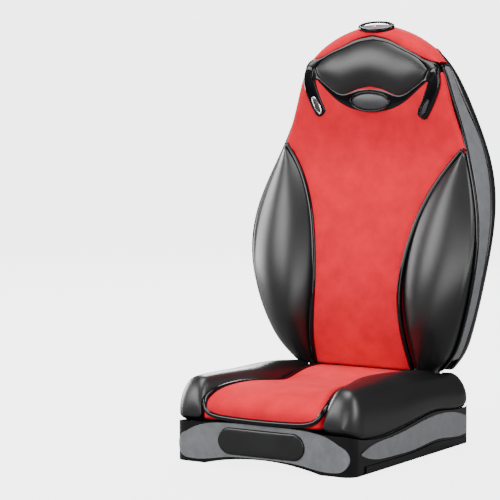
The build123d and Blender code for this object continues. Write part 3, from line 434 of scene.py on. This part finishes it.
black_steel = finish(
    "black_steel", (.012, .012, .013), (.024, .024, .026), fine_grain, 500.0, .12, (.38, .5),
    Coat_Weight=.2, Coat_Roughness=.3,
)
bare_steel = finish(
    "bare_steel", (.45, .46, .48), (.62, .63, .65), brushed_grain, 700.0, .1, (.25, .4),
    Metallic=1.0,
)
chrome_ring = finish(
    "chrome_ring", (.62, .63, .66), (.78, .79, .82), brushed_grain, 300.0, .02, (.06, .12),
    distance=.0001, Metallic=1.0,
)
badge_grey = finish(
    "badge_grey", (.022, .023, .025), (.036, .037, .040), brushed_grain, 500.0, .06, (.36, .46),
    distance=.0002,
)
foam = finish(
    "foam", (.020, .020, .021), (.040, .040, .041), leather_grain, 900.0, .5, (.85, .95)
)
cable_sheath = finish(
    "cable_sheath", (.010, .010, .011), (.02, .02, .021), brushed_grain, 900.0, .2, (.4, .55)
)
washer_plastic = finish(
    "washer_plastic", (.50, .47, .38), (.62, .58, .48), fine_grain, 600.0, .1, (.4, .5)
)
lens_glass = finish(
    "lens_glass", (.16, .17, .19), (.30, .32, .35), fine_grain, 120.0, .02, (.03, .08),
    distance=.0001, Coat_Weight=1.0, Coat_Roughness=.03, Metallic=.3,
)
red_glint = finish(
    "red_glint", (.75, .02, .02), (.95, .06, .05), fine_grain, 400.0, .02, (.1, .2), Coat_Weight=1.0
)


def wear(piece, material, body=None):
    """Gives a piece its material and, when one is named, its body."""
    piece.data.materials.clear()
    piece.data.materials.append(material)
    if body:
        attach(piece, body)
    return piece


slot_finish = {
    "satin_shell": satin_shell, "grey_panel": grey_panel, "gloss_trim": gloss_trim,
    "release_pad": release_rubber, "red_suede": red_suede, "black_leather": black_leather,
    "foam": foam, "black_steel": black_steel, "bare_steel": bare_steel,
    "cable_sheath": cable_sheath, "washer": washer_plastic, "chrome_ring": chrome_ring,
    "badge_lens": lens_glass, "badge_grey": badge_grey,
}
for part in frame["record"]["subparts"]:
    wear(nodes[part["node"]], slot_finish[part["material_slot"]])
wear(nodes["base_frame"], gloss_trim)

# ------------------------------------------------------------------ base cushions
y_seat = rounded_steps(-1.012 * HALF_DEPTH, 1.012 * HALF_DEPTH, 120)


def base_value(points, y, turned=False):
    """Height or half width along the base at distances y."""
    curve = [(s * HALF_DEPTH, v) for s, v in points]
    return value([(-s, v) for s, v in reversed(curve)] if turned else curve, y)


def side_curve(points, count):
    """Points (y, z) of a side-view curve of the base, evenly spread along it."""
    curve = through([(s * HALF_DEPTH, z) for s, z in points], 2000)
    run = np.r_[0, np.cumsum(np.linalg.norm(np.diff(curve, axis=0), axis=1))]
    even = np.linspace(0, run[-1], count)
    return np.stack([np.interp(even, run, curve[:, k]) for k in range(2)], 1)


def hinge_hollow(y):
    """Highest the base may be at y and clear the turning backrest: under a cylinder.

    It is HINGE_Z - sqrt(r^2 - (y - HINGE_Y)^2) inside the clearance radius r, and no limit outside.
    """
    reach = HINGE_CLEARANCE**2 - (y - HINGE_Y) ** 2
    return np.where(reach > 0, HINGE_Z - np.sqrt(np.maximum(reach, 0)), 1e4)


def seat_cushion():
    """Red centre cushion: the side-view top curve carried across, rolled down at both sides.

    Across, x = u * half width. Within `roll` of a side the surface drops along the curve's
    inward normal by roll * (1 - sqrt(1 - q^2)), and the middle swells by a cosine.
    """
    top = side_curve(CENTRE_TOP, 150)
    ahead = np.gradient(top, axis=0)
    ahead /= np.linalg.norm(ahead, axis=1, keepdims=True)
    inward = np.stack([ahead[:, 1], -ahead[:, 0]], 1)
    half = base_value(SEAT_BOUNDARY, top[:, 0])
    q = np.sin(np.linspace(-math.pi / 2, math.pi / 2, 61))
    roll = 15.0
    from_side = np.clip(1 - half[:, None] * (1 - np.abs(q))[None, :] / roll, 0, 1)
    drop = roll * (1 - np.sqrt(1 - from_side**2))
    lengthways_swell = np.sin(np.linspace(0, math.pi, len(top)))[:, None]
    swell = 2.5 * np.cos(q * math.pi / 2)[None, :] * lengthways_swell
    y = top[:, 0][:, None] + inward[:, 0][:, None] * (drop - swell)
    z = np.maximum(top[:, 1][:, None] + inward[:, 1][:, None] * (drop - swell), CUSHION_FLOOR)
    x = half[:, None] * q[None, :]
    z = np.maximum(np.minimum(z, hinge_hollow(y)), CUSHION_FLOOR)
    upper = np.stack([x, y, z], -1)
    under = upper[:, ::-1].copy()
    under[..., 2] = CUSHION_FLOOR
    return mesh_piece("seat_centre", np.concatenate([upper, under], 1), capped=True)


def seat_bolster(name, side):
    """Black side cushion: superellipse sections between the centre cushion and the outer edge.

    The outer edge follows a plan corner x = outer - r (1 - sqrt(1 - q^2)) near both ends, the top
    is the bolster curve, the foot is the frame's edge, and the crest leans to the inner side.
    """
    y = y_seat
    top = base_value(BOLSTER_TOP, y) + 3.0
    foot = base_value(FRAME_TOP, y, turned=side < 0) - 2.5
    q = np.clip(1 - (HALF_DEPTH * 1.03 - np.abs(y)) / 50.0, 0, 1)
    outer = BOLSTER_OUTSIDE - 46.0 * (1 - np.sqrt(np.clip(1 - q**2, 0, 1)))
    inner = base_value(SEAT_BOUNDARY, y) + 3.5
    edge = foot + 0.20 * (top - foot)

    def crest(station, across, share):
        roof = top[:, None] + 2.0 - 13.0 * np.clip(share + 0.25, 0, 2) ** 2
        return np.where(across < HOLLOW_HALF, np.minimum(roof, hinge_hollow(station)), roof)

    return pillow(
        name, y, inner, outer, crest, edge, foot, lengthways if side > 0 else mirrored(lengthways),
        ends=(44.0, 40.0), square=(0.62, 0.72), count=88,
    )


cushion = wear(seat_cushion(), red_suede, "base")
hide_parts("seat_centre_cushion")
for label, side in (("right", 1), ("left", -1)):
    bolster = wear(seat_bolster(f"seat_side_{label}", side), black_leather, "base")
    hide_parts(f"seat_bolster_{label}")

# ------------------------------------------------------------------ backrest pads
z_pad = rounded_steps(BACK_BOTTOM + 0.5, 782.0, 140)
pad_half = np.where(
    z_pad < BACK_BOTTOM + 0.6350 * BACK_HEIGHT,
    np.minimum(pad_edge(z_pad), contour(z_pad, 4.0)),
    contour(z_pad, 4.0),
)


def centre_front(station, across, share):
    """Front of the centre pad: the pad curve with a slight cosine crown across it."""
    return along(PAD_FRONT, z_pad)[:, None] - 2.0 * np.cos(share * math.pi / 2)


centre_pad = pillow(
    "back_centre", z_pad, -pad_half, pad_half, centre_front,
    along(PAD_FRONT, z_pad) + 12.0, along(BOARD_FRONT, z_pad) - 0.5, upright,
    ends=(9.0, 6.0), square=(0.22, 0.5), count=120,
)
wear(centre_pad, red_suede, "backrest")
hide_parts("back_centre_pad")

z_bolster = rounded_steps(151.5, BACK_BOTTOM + 0.648 * BACK_HEIGHT, 130)
share_up = (z_bolster - BACK_BOTTOM) / BACK_HEIGHT
crown = 20.0 * value(
    [(0, .12), (.058, .45), (.125, .8), (.20, 1), (.36, 1), (.43, .95), (.52, .75),
     (.572, .5), (.648, .05)],
    share_up,
)
bolster_low = pad_edge(z_bolster) + 4.5
bolster_high = np.maximum(contour(z_bolster, 7.0), bolster_low + 0.5)


def bolster_front(station, across, share):
    """Front of a back bolster: the pad curve, pushed forward by the crown towards its middle."""
    return along(PAD_FRONT, z_bolster)[:, None] - crown[:, None] * np.cos(
        np.clip(share + 0.12, -1, 1) * math.pi / 2
    )


for label, side in (("right", 1), ("left", -1)):
    bolster = pillow(
        f"back_side_{label}", z_bolster, bolster_low, bolster_high, bolster_front,
        along(BOARD_FRONT, z_bolster) - 9.0, along(BOARD_FRONT, z_bolster) - 0.5,
        upright if side > 0 else mirrored(upright), ends=(5.0, 10.0), square=(0.7, 0.62), count=88,
    )
    wear(bolster, black_leather, "backrest")
    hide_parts(f"back_bolster_{label}")

    z_trim = np.linspace(BACK_BOTTOM + 1.0, BACK_BOTTOM + 0.652 * BACK_HEIGHT, 110)
    path = np.stack([side * pad_edge(z_trim), z_trim], 1)
    trim = strip(
        f"edge_trim_{label}", path, 5.0, along(PAD_FRONT, z_trim) - 2.6,
        along(PAD_FRONT, z_trim) + 10.0, square=0.8, tuck=6.0,
    )
    wear(trim, gloss_trim, "backrest")
    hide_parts(f"bolster_trim_{label}")

# ------------------------------------------------------------------ headrest and surround
x_head = rounded_steps(-HEADREST_HALF, HEADREST_HALF, 90)
head_low = value(HEADREST_LOW, np.abs(x_head))
head_high = np.maximum(value(HEADREST_TOP, np.abs(x_head)), head_low)


def headrest_front(station, across, share):
    """Front of the headrest: the pad curve pushed forward by a dome over its outline."""
    side_dome = np.sqrt(np.clip(1 - (np.abs(station) / HEADREST_HALF) ** 2.6, 0, 1))
    return along(PAD_FRONT, across) - 2.0 - 12.0 * side_dome * np.cos(share * math.pi / 2) ** 0.5


headrest = pillow(
    "headrest_cushion", x_head, head_low, head_high, headrest_front,
    lambda station, across, share: along(PAD_FRONT, across) - 1.0,
    lambda station, across, share: along(BOARD_FRONT, across) - 0.5, sideways,
    square=(0.85, 0.6), count=80,
)
wear(headrest, black_leather, "backrest")
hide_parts("headrest_pad")

HUB = (0.0, 790.0)      # middle of the headrest, which its outlines are measured round


def polar(points, angle):
    """Distance from the headrest's hub to an outline, by angle."""
    p = np.asarray(points) - HUB
    a, r = np.unwrap(np.arctan2(p[:, 1], p[:, 0])), np.hypot(p[:, 0], p[:, 1])
    order = np.argsort(a)
    return np.interp(angle, a[order], r[order])


def half_ring(upper, lower, count=300):
    """Right half of a closed outline, from straight above the hub round to straight below."""
    return np.concatenate([through(upper, count), through(lower, count)[::-1]])


ring_angle = np.linspace(-math.pi / 2, math.pi / 2, 121)
shoulder = [(150, 802), (158, 793), (162, 778), (160, 764), (150, 756), (132, 762)]
inner = polar(half_ring(HEADREST_TOP, HEADREST_LOW), ring_angle) - 2.0
outer = polar(
    np.concatenate([
        through(TRIM_TOP[:5], 200), through(shoulder, 120), through(TRIM_BOWL, 200)[::-1],
    ]),
    ring_angle,
)
inner_loop = np.r_[inner, inner[-2:0:-1]]
outer_loop = np.maximum(np.r_[outer, outer[-2:0:-1]], inner_loop + 10.0)
round_angle = np.r_[ring_angle, math.pi - ring_angle[-2:0:-1]]
across_ring = np.linspace(0, 2 * math.pi, 36, endpoint=False)
ring_in = np.sign(np.cos(across_ring)) * np.abs(np.cos(across_ring)) ** 0.5
ring_up = np.sin(across_ring)
radius = (
    (inner_loop + outer_loop)[:, None] / 2
    + (outer_loop - inner_loop)[:, None] / 2 * ring_in[None, :]
)
ring_x = HUB[0] + radius * np.cos(round_angle)[:, None]
ring_z = HUB[1] + radius * np.sin(round_angle)[:, None]
ring_front = along(PAD_FRONT, ring_z)
ring_y = np.where(
    ring_up[None, :] > 0, ring_front + 2.0 - 4.6 * np.abs(ring_up[None, :]) ** 0.6,
    ring_front + 2.0 + 10.0 * np.abs(ring_up[None, :]) ** 0.5,
)
ring_rows = np.stack([ring_x, ring_y, ring_z], -1)
surround = mesh_piece("headrest_frame", np.concatenate([ring_rows, ring_rows[:1]]))
wear(surround, gloss_trim, "backrest")
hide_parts("headrest_surround")

for label, side in (("right", 1), ("left", -1)):
    arm = through([(144, 794), (151, 774), (148, 750), (136, 719), (125, 698), (117, 685)], 60)
    arm_half = value(
        [(0, 10.0), (.25, 13.0), (.6, 15.0), (.85, 14.5), (1, 12.5)], np.linspace(0, 1, 60)
    )
    path = arm * (side, 1)
    front = along(PAD_FRONT, arm[:, 1])
    piece = strip(
        f"slot_arm_{label}", path, arm_half, front - 4.2, front + 8.0, square=0.55, tuck=12.0
    )
    wear(piece, gloss_trim, "backrest")

    centre = np.array([side * 130.0, 707.0])
    lean = np.array([side * 0.45, 0.893])
    turn = np.linspace(0, 2 * math.pi, 64, endpoint=False)
    long_way = np.outer(np.cos(turn) * 19.0, lean)
    oval = centre + long_way + np.outer(np.sin(turn) * 6.0, [lean[1], -lean[0]])
    oval_front = along(PAD_FRONT, oval[:, 1])
    rim = strip(
        f"slot_rim_{label}", oval, 1.5, oval_front - 6.2, oval_front - 2.0, square=1.0, closed=True
    )
    # Painted highlight: the left rim wears bright chrome to stand for the highlight it catches, and
    # the right rim black gloss; the real rims are alike on both sides.
    rim_highlight_slot = "chrome_ring" if side < 0 else "gloss_trim"
    wear(rim, slot_finish[rim_highlight_slot], "backrest")
    inlay_rows = centre + (oval - centre)[None] * np.array([0.02, .4, .7, .95])[:, None, None]
    inlay_y = along(PAD_FRONT, inlay_rows[..., 1]) - np.array([4.9, 4.8, 4.6, 4.4])[:, None]
    face = np.stack([inlay_rows[..., 0], inlay_y, inlay_rows[..., 1]], -1)
    backing = face[::-1] + np.array([0, 1.6, 0])
    inlay = mesh_piece(f"slot_inlay_{label}", np.concatenate([face, backing]), capped=True)
    wear(inlay, badge_grey, "backrest")


def oval_dome(name, origin, across, up, half_wide, half_high, base, rise, thick):
    """Domed oval: rings at shares r of the rim, standing base + rise * (1 - r^2) off a plane."""
    turn = np.linspace(0, 2 * math.pi, 72, endpoint=False)
    r = np.array([0.0, .25, .5, .7, .85, .94, .985, 1.0])
    lift = base + rise * (1 - r**2) - np.where(r > .9, (r - .9) ** 2 * 150, 0)
    across, up = np.array(across, float), np.array(up, float)
    out = np.cross(across, up)
    rim = np.cos(turn)[:, None] * half_wide * across + np.sin(turn)[:, None] * half_high * up
    face = np.array(origin) + r[:, None, None] * rim[None] + lift[:, None, None] * out
    under = np.array(origin) + r[::-1][:, None, None] * rim[None] + (base - thick) * out
    return mesh_piece(name, np.concatenate([face, under]), capped=True)


def oval_ring(name, origin, across, up, half_wide, half_high, thick, high, lift):
    """Rounded oval ring: an ellipse carried round with a superellipse section on a plane."""
    turn = np.linspace(0, 2 * math.pi, 96, endpoint=False)
    angle = np.linspace(0, 2 * math.pi, 20, endpoint=False)
    across, up = np.array(across, float), np.array(up, float)
    out = np.cross(across, up)
    flat = np.stack([np.cos(turn) * half_wide, np.sin(turn) * half_high], 1)
    ahead = np.stack([-np.sin(turn) * half_wide, np.cos(turn) * half_high], 1)
    ahead /= np.linalg.norm(ahead, axis=1, keepdims=True)
    normal = np.stack([ahead[:, 1], -ahead[:, 0]], 1)
    side = np.cos(angle) * thick / 2
    level = lift + np.sign(np.sin(angle)) * np.abs(np.sin(angle)) ** 0.7 * high / 2
    spot = flat[:, None, :] + side[None, :, None] * normal[:, None, :]
    flat_rows = np.array(origin) + spot[..., :1] * across + spot[..., 1:] * up
    rows = flat_rows + level[None, :, None] * out
    return mesh_piece(name, np.concatenate([rows, rows[:1]]))


headrest_spot = (0, float(along(PAD_FRONT, 718.0)) - 3.0, 718)
badge = oval_dome(
    "headrest_oval", headrest_spot, (1, 0, 0), (0, 0, 1), 44.0, 17.5, 1.5, 2.8, 8.0
)
wear(badge, badge_grey, "backrest")
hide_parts("headrest_badge")
rim = oval_ring(
    "headrest_oval_rim", headrest_spot, (1, 0, 0), (0, 0, 1), 46.5, 20.0, 3.6, 5.0, 1.0
)
wear(rim, gloss_trim, "backrest")

# ------------------------------------------------------------------ cap and top badge
x_cap = rounded_steps(-CAP_HALF, CAP_HALF, 100)
cap_roof = value(
    [(-x * BACK_HALF, s * BACK_HEIGHT) for x, s in BACK_SIDE[6:]]
    + [(x * BACK_HALF, s * BACK_HEIGHT) for x, s in BACK_SIDE[-2:5:-1]],
    x_cap,
) + BACK_BOTTOM
cap_foot = value(TRIM_TOP, np.abs(x_cap)) + 0.6
cap_roof = np.maximum(cap_roof, cap_foot + 1.0)


def cap_edge(station, across, share):
    """Foot of the cap: the surround's edge in front, the shell's top behind, blended between."""
    blend = np.clip(share * 0.5 + 0.5, 0, 1)
    rear = np.minimum(SHELL_TOP + 0.5, cap_roof - 2.0)[:, None]
    return cap_foot[:, None] * (1 - blend) + rear * blend + 1.0


narrowing = np.abs(x_cap / CAP_HALF) ** 4
cap = pillow(
    "top_cover", x_cap, 192.0 + 8.0 * narrowing, 262.0 - 26.0 * narrowing,
    lambda station, across, share: cap_roof[:, None] - 3.5 * share**2, cap_edge,
    lambda station, across, share: cap_edge(station, across, share) - 1.0,
    lambda station, across, level: np.stack([station, across, level], -1),
    square=(0.6, 0.75), count=72,
)
wear(cap, red_suede, "backrest")
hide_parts("top_cap")

tilt = math.radians(24.0)
badge_spot = (0, 212.0, BACK_TOP - 9.0)
badge_up = (0, math.cos(tilt), math.sin(tilt))
ring = oval_ring("top_ring", badge_spot, (1, 0, 0), badge_up, 39.0, 19.5, 6.5, 9.0, 6.5)
wear(ring, gloss_trim, "backrest")
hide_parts("top_badge_ring")
lens = oval_dome("top_lens", badge_spot, (1, 0, 0), badge_up, 36.4, 17.0, 7.6, 4.0, 5.0)
glint = oval_dome(
    "top_glint", (badge_spot[0], badge_spot[1] - 7.0, badge_spot[2] - 3.0), (1, 0, 0), badge_up,
    5.0, 2.6, 11.0, 1.4, 2.0,
)
wear(glint, red_glint, "backrest")
wear(lens, lens_glass, "backrest")
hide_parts("top_badge_lens")

# ------------------------------------------------------------------ shell, bands and rim
def shell():
    """Rear shell: rounded-rectangle sections lofted up the back, its top edge rounded over.

    A section runs from the bands' rear line to the shell's rear with corners of radius r. The
    emblem's seat is a smooth oval dip of the rear face.
    """
    round_over = SHELL_TOP - 7.0 + 7.0 * np.sin(np.linspace(.1, math.pi / 2, 9))
    z = np.r_[np.linspace(BACK_BOTTOM, SHELL_TOP - 7.0, 130), round_over]
    over = np.clip((z - (SHELL_TOP - 7.0)) / 7.0, 0, 1)
    inset = 7.0 * (1 - np.sqrt(1 - over**2))
    points = [(s * BACK_HEIGHT, x * BACK_HALF) for x, s in BACK_SIDE[:8]]
    points.append((SHELL_TOP - BACK_BOTTOM, 130.0))
    half = value(points, z - BACK_BOTTOM) - inset
    rear = along(SHELL_REAR, z) - inset
    front = along(BAND_REAR, z)
    r = np.minimum(26.0, np.maximum(rear - front - 2.0, 4.0))
    a = np.linspace(0, math.pi / 2, 16)
    x_right = half[:, None] - r[:, None] * (1 - np.cos(a))[None, :]
    y_right = rear[:, None] - r[:, None] * (1 - np.sin(a))[None, :]
    across = np.linspace(1, -1, 60)[1:-1]
    x_mid = (half - r)[:, None] * across[None, :]
    y_mid = np.broadcast_to(rear[:, None], x_mid.shape)
    x = np.concatenate([half[:, None], x_right, x_mid, -x_right[:, ::-1], -half[:, None]], 1)
    y = np.concatenate([front[:, None], y_right, y_mid, y_right[:, ::-1], front[:, None]], 1)
    zz = np.broadcast_to(z[:, None], x.shape)
    dip = ((x / 58.0) ** 2 + ((zz - REAR_EMBLEM_Z) / 34.0) ** 2) ** 0.5
    ramp = np.clip((dip - 0.8) / 0.3, 0, 1)
    y = y - 4.0 * (1 - ramp**2 * (3 - 2 * ramp))
    return mesh_piece("rear_shell", np.stack([x, y, zz], -1), capped=True)


rear_shell = wear(shell(), satin_shell, "backrest")
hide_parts("back_shell")
emblem_spot = (0, float(along(SHELL_REAR, REAR_EMBLEM_Z)) - 3.0, REAR_EMBLEM_Z)
rise = float(along(SHELL_REAR, REAR_EMBLEM_Z + 20)) - float(along(SHELL_REAR, REAR_EMBLEM_Z - 20))
lean = rise / 40.0
emblem_up = np.array([0, lean, 1.0]) / math.hypot(1, lean)
ring = oval_ring(
    "rear_oval_ring", emblem_spot, (-1, 0, 0), emblem_up, 43.0, 20.5, 5.5, 7.0, 1.0
)
wear(ring, gloss_trim, "backrest")
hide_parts("rear_emblem_ring")
disc = oval_dome("rear_oval", emblem_spot, (-1, 0, 0), emblem_up, 39.8, 17.4, 0.5, 2.5, 3.0)
wear(disc, satin_shell, "backrest")
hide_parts("rear_emblem_disc")

z_band = np.linspace(BACK_BOTTOM + 24.0, BACK_TOP - 82.0, 150)
for label, side in (("right", 1), ("left", -1)):
    path = np.stack([side * contour(z_band), z_band], 1)
    band = strip(
        f"grey_band_{label}", path, 2.0, along(BOARD_FRONT, z_band) + 1.0,
        along(BAND_REAR, z_band) - 0.4, square=0.25, offset=-2.0 * side, tuck=8.0, count=40,
    )
    wear(band, grey_panel, "backrest")
    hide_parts(f"side_band_{label}")

rim_points = np.array([(x * BACK_HALF, BACK_BOTTOM + s * BACK_HEIGHT) for x, s in BACK_SIDE[:8]])
for label, side in (("right", 1), ("left", -1)):
    rim_path = through(rim_points, 160) * (side, 1)
    rim_board = along(BOARD_FRONT, rim_path[:, 1])
    rim = strip(
        f"back_rim_{label}", rim_path, 3.6, rim_board - 6.5, rim_board + 1.5, square=0.7,
        offset=-3.4 * side, tuck=5.0,
    )
    wear(rim, gloss_trim, "backrest")
    if side > 0:
        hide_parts("back_bezel")
    seam_depth = along(BAND_REAR, rim_path[:, 1])
    seam = strip(
        f"shell_seam_{label}", rim_path, 1.6, seam_depth - 1.8, seam_depth + 1.8, square=1.0,
        offset=-0.6 * side, tuck=5.0,
    )
    wear(seam, gloss_trim, "backrest")


# ------------------------------------------------------------------ release pads
def release_pad(name, facing):
    """Oblong pad: stadium sections whose ends are half circles, with a shallow crowned face."""
    x = rounded_steps(-RELEASE_HALF, RELEASE_HALF, 90)
    into_end = np.clip((np.abs(x) - (RELEASE_HALF - RELEASE_RADIUS)) / RELEASE_RADIUS, 0, 1)
    half = RELEASE_RADIUS * np.sqrt(np.clip(1 - into_end**2, 0, 1))
    face = 263.0 - 1.5 * (x / RELEASE_HALF) ** 2

    def place(station, across, level):
        return np.stack([station, facing * level, across], -1)

    return pillow(
        name, x, RELEASE_CENTRE - half, RELEASE_CENTRE + half, face,
        np.full(len(x), 257.0), np.full(len(x), 243.0), place, square=(0.5, 0.3), count=56,
    )


for label, facing in (("front", -1), ("rear", 1)):
    pad = release_pad(f"{label}_press_pad", facing)
    wear(pad, release_rubber, f"{label}_release")
    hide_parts(f"{label}_release_pad")

# ------------------------------------------------------------------ seat piping
def tube(name, path, radius, count=16):
    """Round tube: circles of the radius carried along a path on its level and upright normals."""
    ahead = np.gradient(path, axis=0)
    ahead /= np.linalg.norm(ahead, axis=1, keepdims=True)
    out = np.cross(ahead, (0, 0, 1.0)) + 1e-9
    out /= np.linalg.norm(out, axis=1, keepdims=True)
    up = np.cross(out, ahead)
    a = np.linspace(0, 2 * math.pi, count, endpoint=False)
    circle = np.cos(a)[None, :, None] * out[:, None] + np.sin(a)[None, :, None] * up[:, None]
    return mesh_piece(name, path[:, None] + radius * circle, capped=True)


y_pipe = np.linspace(0.56 * HALF_DEPTH, -0.94 * HALF_DEPTH, 26)
flank = np.stack([
    base_value(SEAT_BOUNDARY, y_pipe) + 2.0, y_pipe, base_value(CENTRE_TOP, y_pipe) - 3.5,
], 1)
nose = np.array([
    (136.0, -251.0, 122.0), (129.0, -257.5, 109.0), (112.0, -260.5, 100.5), (86.0, -261.5, 97.0),
    (45.0, -261.8, 95.5), (0.0, -262.0, 95.0),
])
right_half = np.concatenate([flank, nose])
round_the_nose = np.concatenate([right_half, (right_half[:-1] * (-1, 1, 1))[::-1]])
piping = tube("seat_piping", through(round_the_nose, 420), 5.4)
wear(piping, gloss_trim, "base")


# ------------------------------------------------------------------ foot of the backrest
def foot_cover(name, outside, inside, half_width):
    """Curved sheet that closes the backrest's foot: part of a hollow cylinder round the hinge."""
    arc = np.radians(np.linspace(184, 300, 40))
    around = np.stack([np.cos(arc), np.sin(arc)], 1)
    hinge = np.array([HINGE_Y, HINGE_Z])
    loop = np.concatenate([hinge + outside * around, (hinge + inside * around)[::-1]])
    x = np.linspace(-half_width, half_width, 12)
    size = (len(x), len(loop))
    rows = np.stack([
        np.broadcast_to(x[:, None], size), np.broadcast_to(loop[:, 0], size),
        np.broadcast_to(loop[:, 1], size),
    ], -1)
    return mesh_piece(name, rows, capped=True)


back_foot = foot_cover("back_foot_cover", 64.5, 62.0, 133.0)
wear(back_foot, black_leather, "backrest")

# ------------------------------------------------------------------ studio
def plain(name, colour, rough):
    """Plain matt material for the studio floor."""
    material = bpy.data.materials.new(name)
    material.use_nodes = True
    shader = material.node_tree.nodes["Principled BSDF"]
    shader.inputs["Base Color"].default_value = (*colour, 1)
    shader.inputs["Roughness"].default_value = rough
    return material


spokes = np.linspace(0, 2 * math.pi, 64, endpoint=False)
radii = np.array([0.001, 2.0, 8.0, 90.0]) * 1000
disc_rows = np.stack([
    radii[:, None] * np.cos(spokes), radii[:, None] * np.sin(spokes), np.full((4, 64), -0.2),
], -1)
floor = mesh_piece("studio_floor", disc_rows)
studio_white = plain("studio_white", (.16, .16, .16), .9)
seen = studio_white.node_tree.nodes.new("ShaderNodeLightPath")
studio_shader = studio_white.node_tree.nodes["Principled BSDF"]
studio_shader.inputs["Emission Color"].default_value = (1, 1, 1, 1)
lift = studio_white.node_tree.nodes.new("ShaderNodeMapRange")
lift.inputs["To Max"].default_value = 4.2
studio_white.node_tree.links.new(seen.outputs["Is Camera Ray"], lift.inputs["Value"])
studio_white.node_tree.links.new(lift.outputs["Result"], studio_shader.inputs["Emission Strength"])
floor.data.materials.append(studio_white)

world = bpy.data.worlds.new("studio")
bpy.context.scene.world = world
world.use_nodes = True
backdrop = world.node_tree.nodes["Background"]
backdrop.inputs["Color"].default_value = (1, 1, 1, 1)
glow = world.node_tree.nodes.new("ShaderNodeMapRange")
glow.inputs["To Min"].default_value = 0.14
glow.inputs["To Max"].default_value = 4.3
camera_rays = world.node_tree.nodes.new("ShaderNodeLightPath")
world.node_tree.links.new(camera_rays.outputs["Is Camera Ray"], glow.inputs["Value"])
world.node_tree.links.new(glow.outputs["Result"], backdrop.inputs["Strength"])


def softbox(name, place, target, size, power):
    """Rectangular area light at a place, facing a target."""
    lamp = bpy.data.lights.new(name, "AREA")
    lamp.shape, lamp.size, lamp.size_y, lamp.energy = "RECTANGLE", size[0], size[1], power
    light = bpy.data.objects.new(name, lamp)
    light.location = place
    light.rotation_euler = (Vector(target) - Vector(place)).to_track_quat("-Z", "Y").to_euler()
    bpy.context.scene.collection.objects.link(light)


softbox("key", (-1.9, -2.9, 2.3), (0, 0, .45), (2.2, 2.0), 170)
softbox("fill", (1.6, -3.8, 1.0), (0, 0, .4), (2.4, 1.8), 90)
softbox("left", (-3.0, 0.5, .9), (0, .1, .45), (1.6, 1.4), 130)
softbox("side", (3.0, -0.2, 1.6), (0, 0, .4), (.8, 2.2), 90)
softbox("rear", (-1.6, 3.0, 2.0), (0, 0, .5), (1.4, 2.0), 170)
softbox("top", (0.2, -0.4, 3.4), (0, 0, .3), (1.8, 1.8), 120)

# ------------------------------------------------------------------ camera
azimuth, distance, height = math.radians(30.012), 5.343, 0.940
pitch, yaw = math.radians(5.581), math.atan(76.588 / 2600.0)
ahead = np.array([-math.sin(azimuth), math.cos(azimuth)])
ahead = np.array([
    math.cos(yaw) * ahead[0] - math.sin(yaw) * ahead[1],
    math.sin(yaw) * ahead[0] + math.cos(yaw) * ahead[1],
])
lens_data = bpy.data.cameras.new("camera")
lens_data.sensor_width, lens_data.lens = 36.0, 187.2
camera = bpy.data.objects.new("camera", lens_data)
camera.location = (math.sin(azimuth) * distance, -math.cos(azimuth) * distance, height)
look = Vector((ahead[0] * math.cos(pitch), ahead[1] * math.cos(pitch), -math.sin(pitch)))
camera.rotation_euler = look.to_track_quat("-Z", "Y").to_euler()
bpy.context.scene.collection.objects.link(camera)
bpy.context.scene.camera = camera
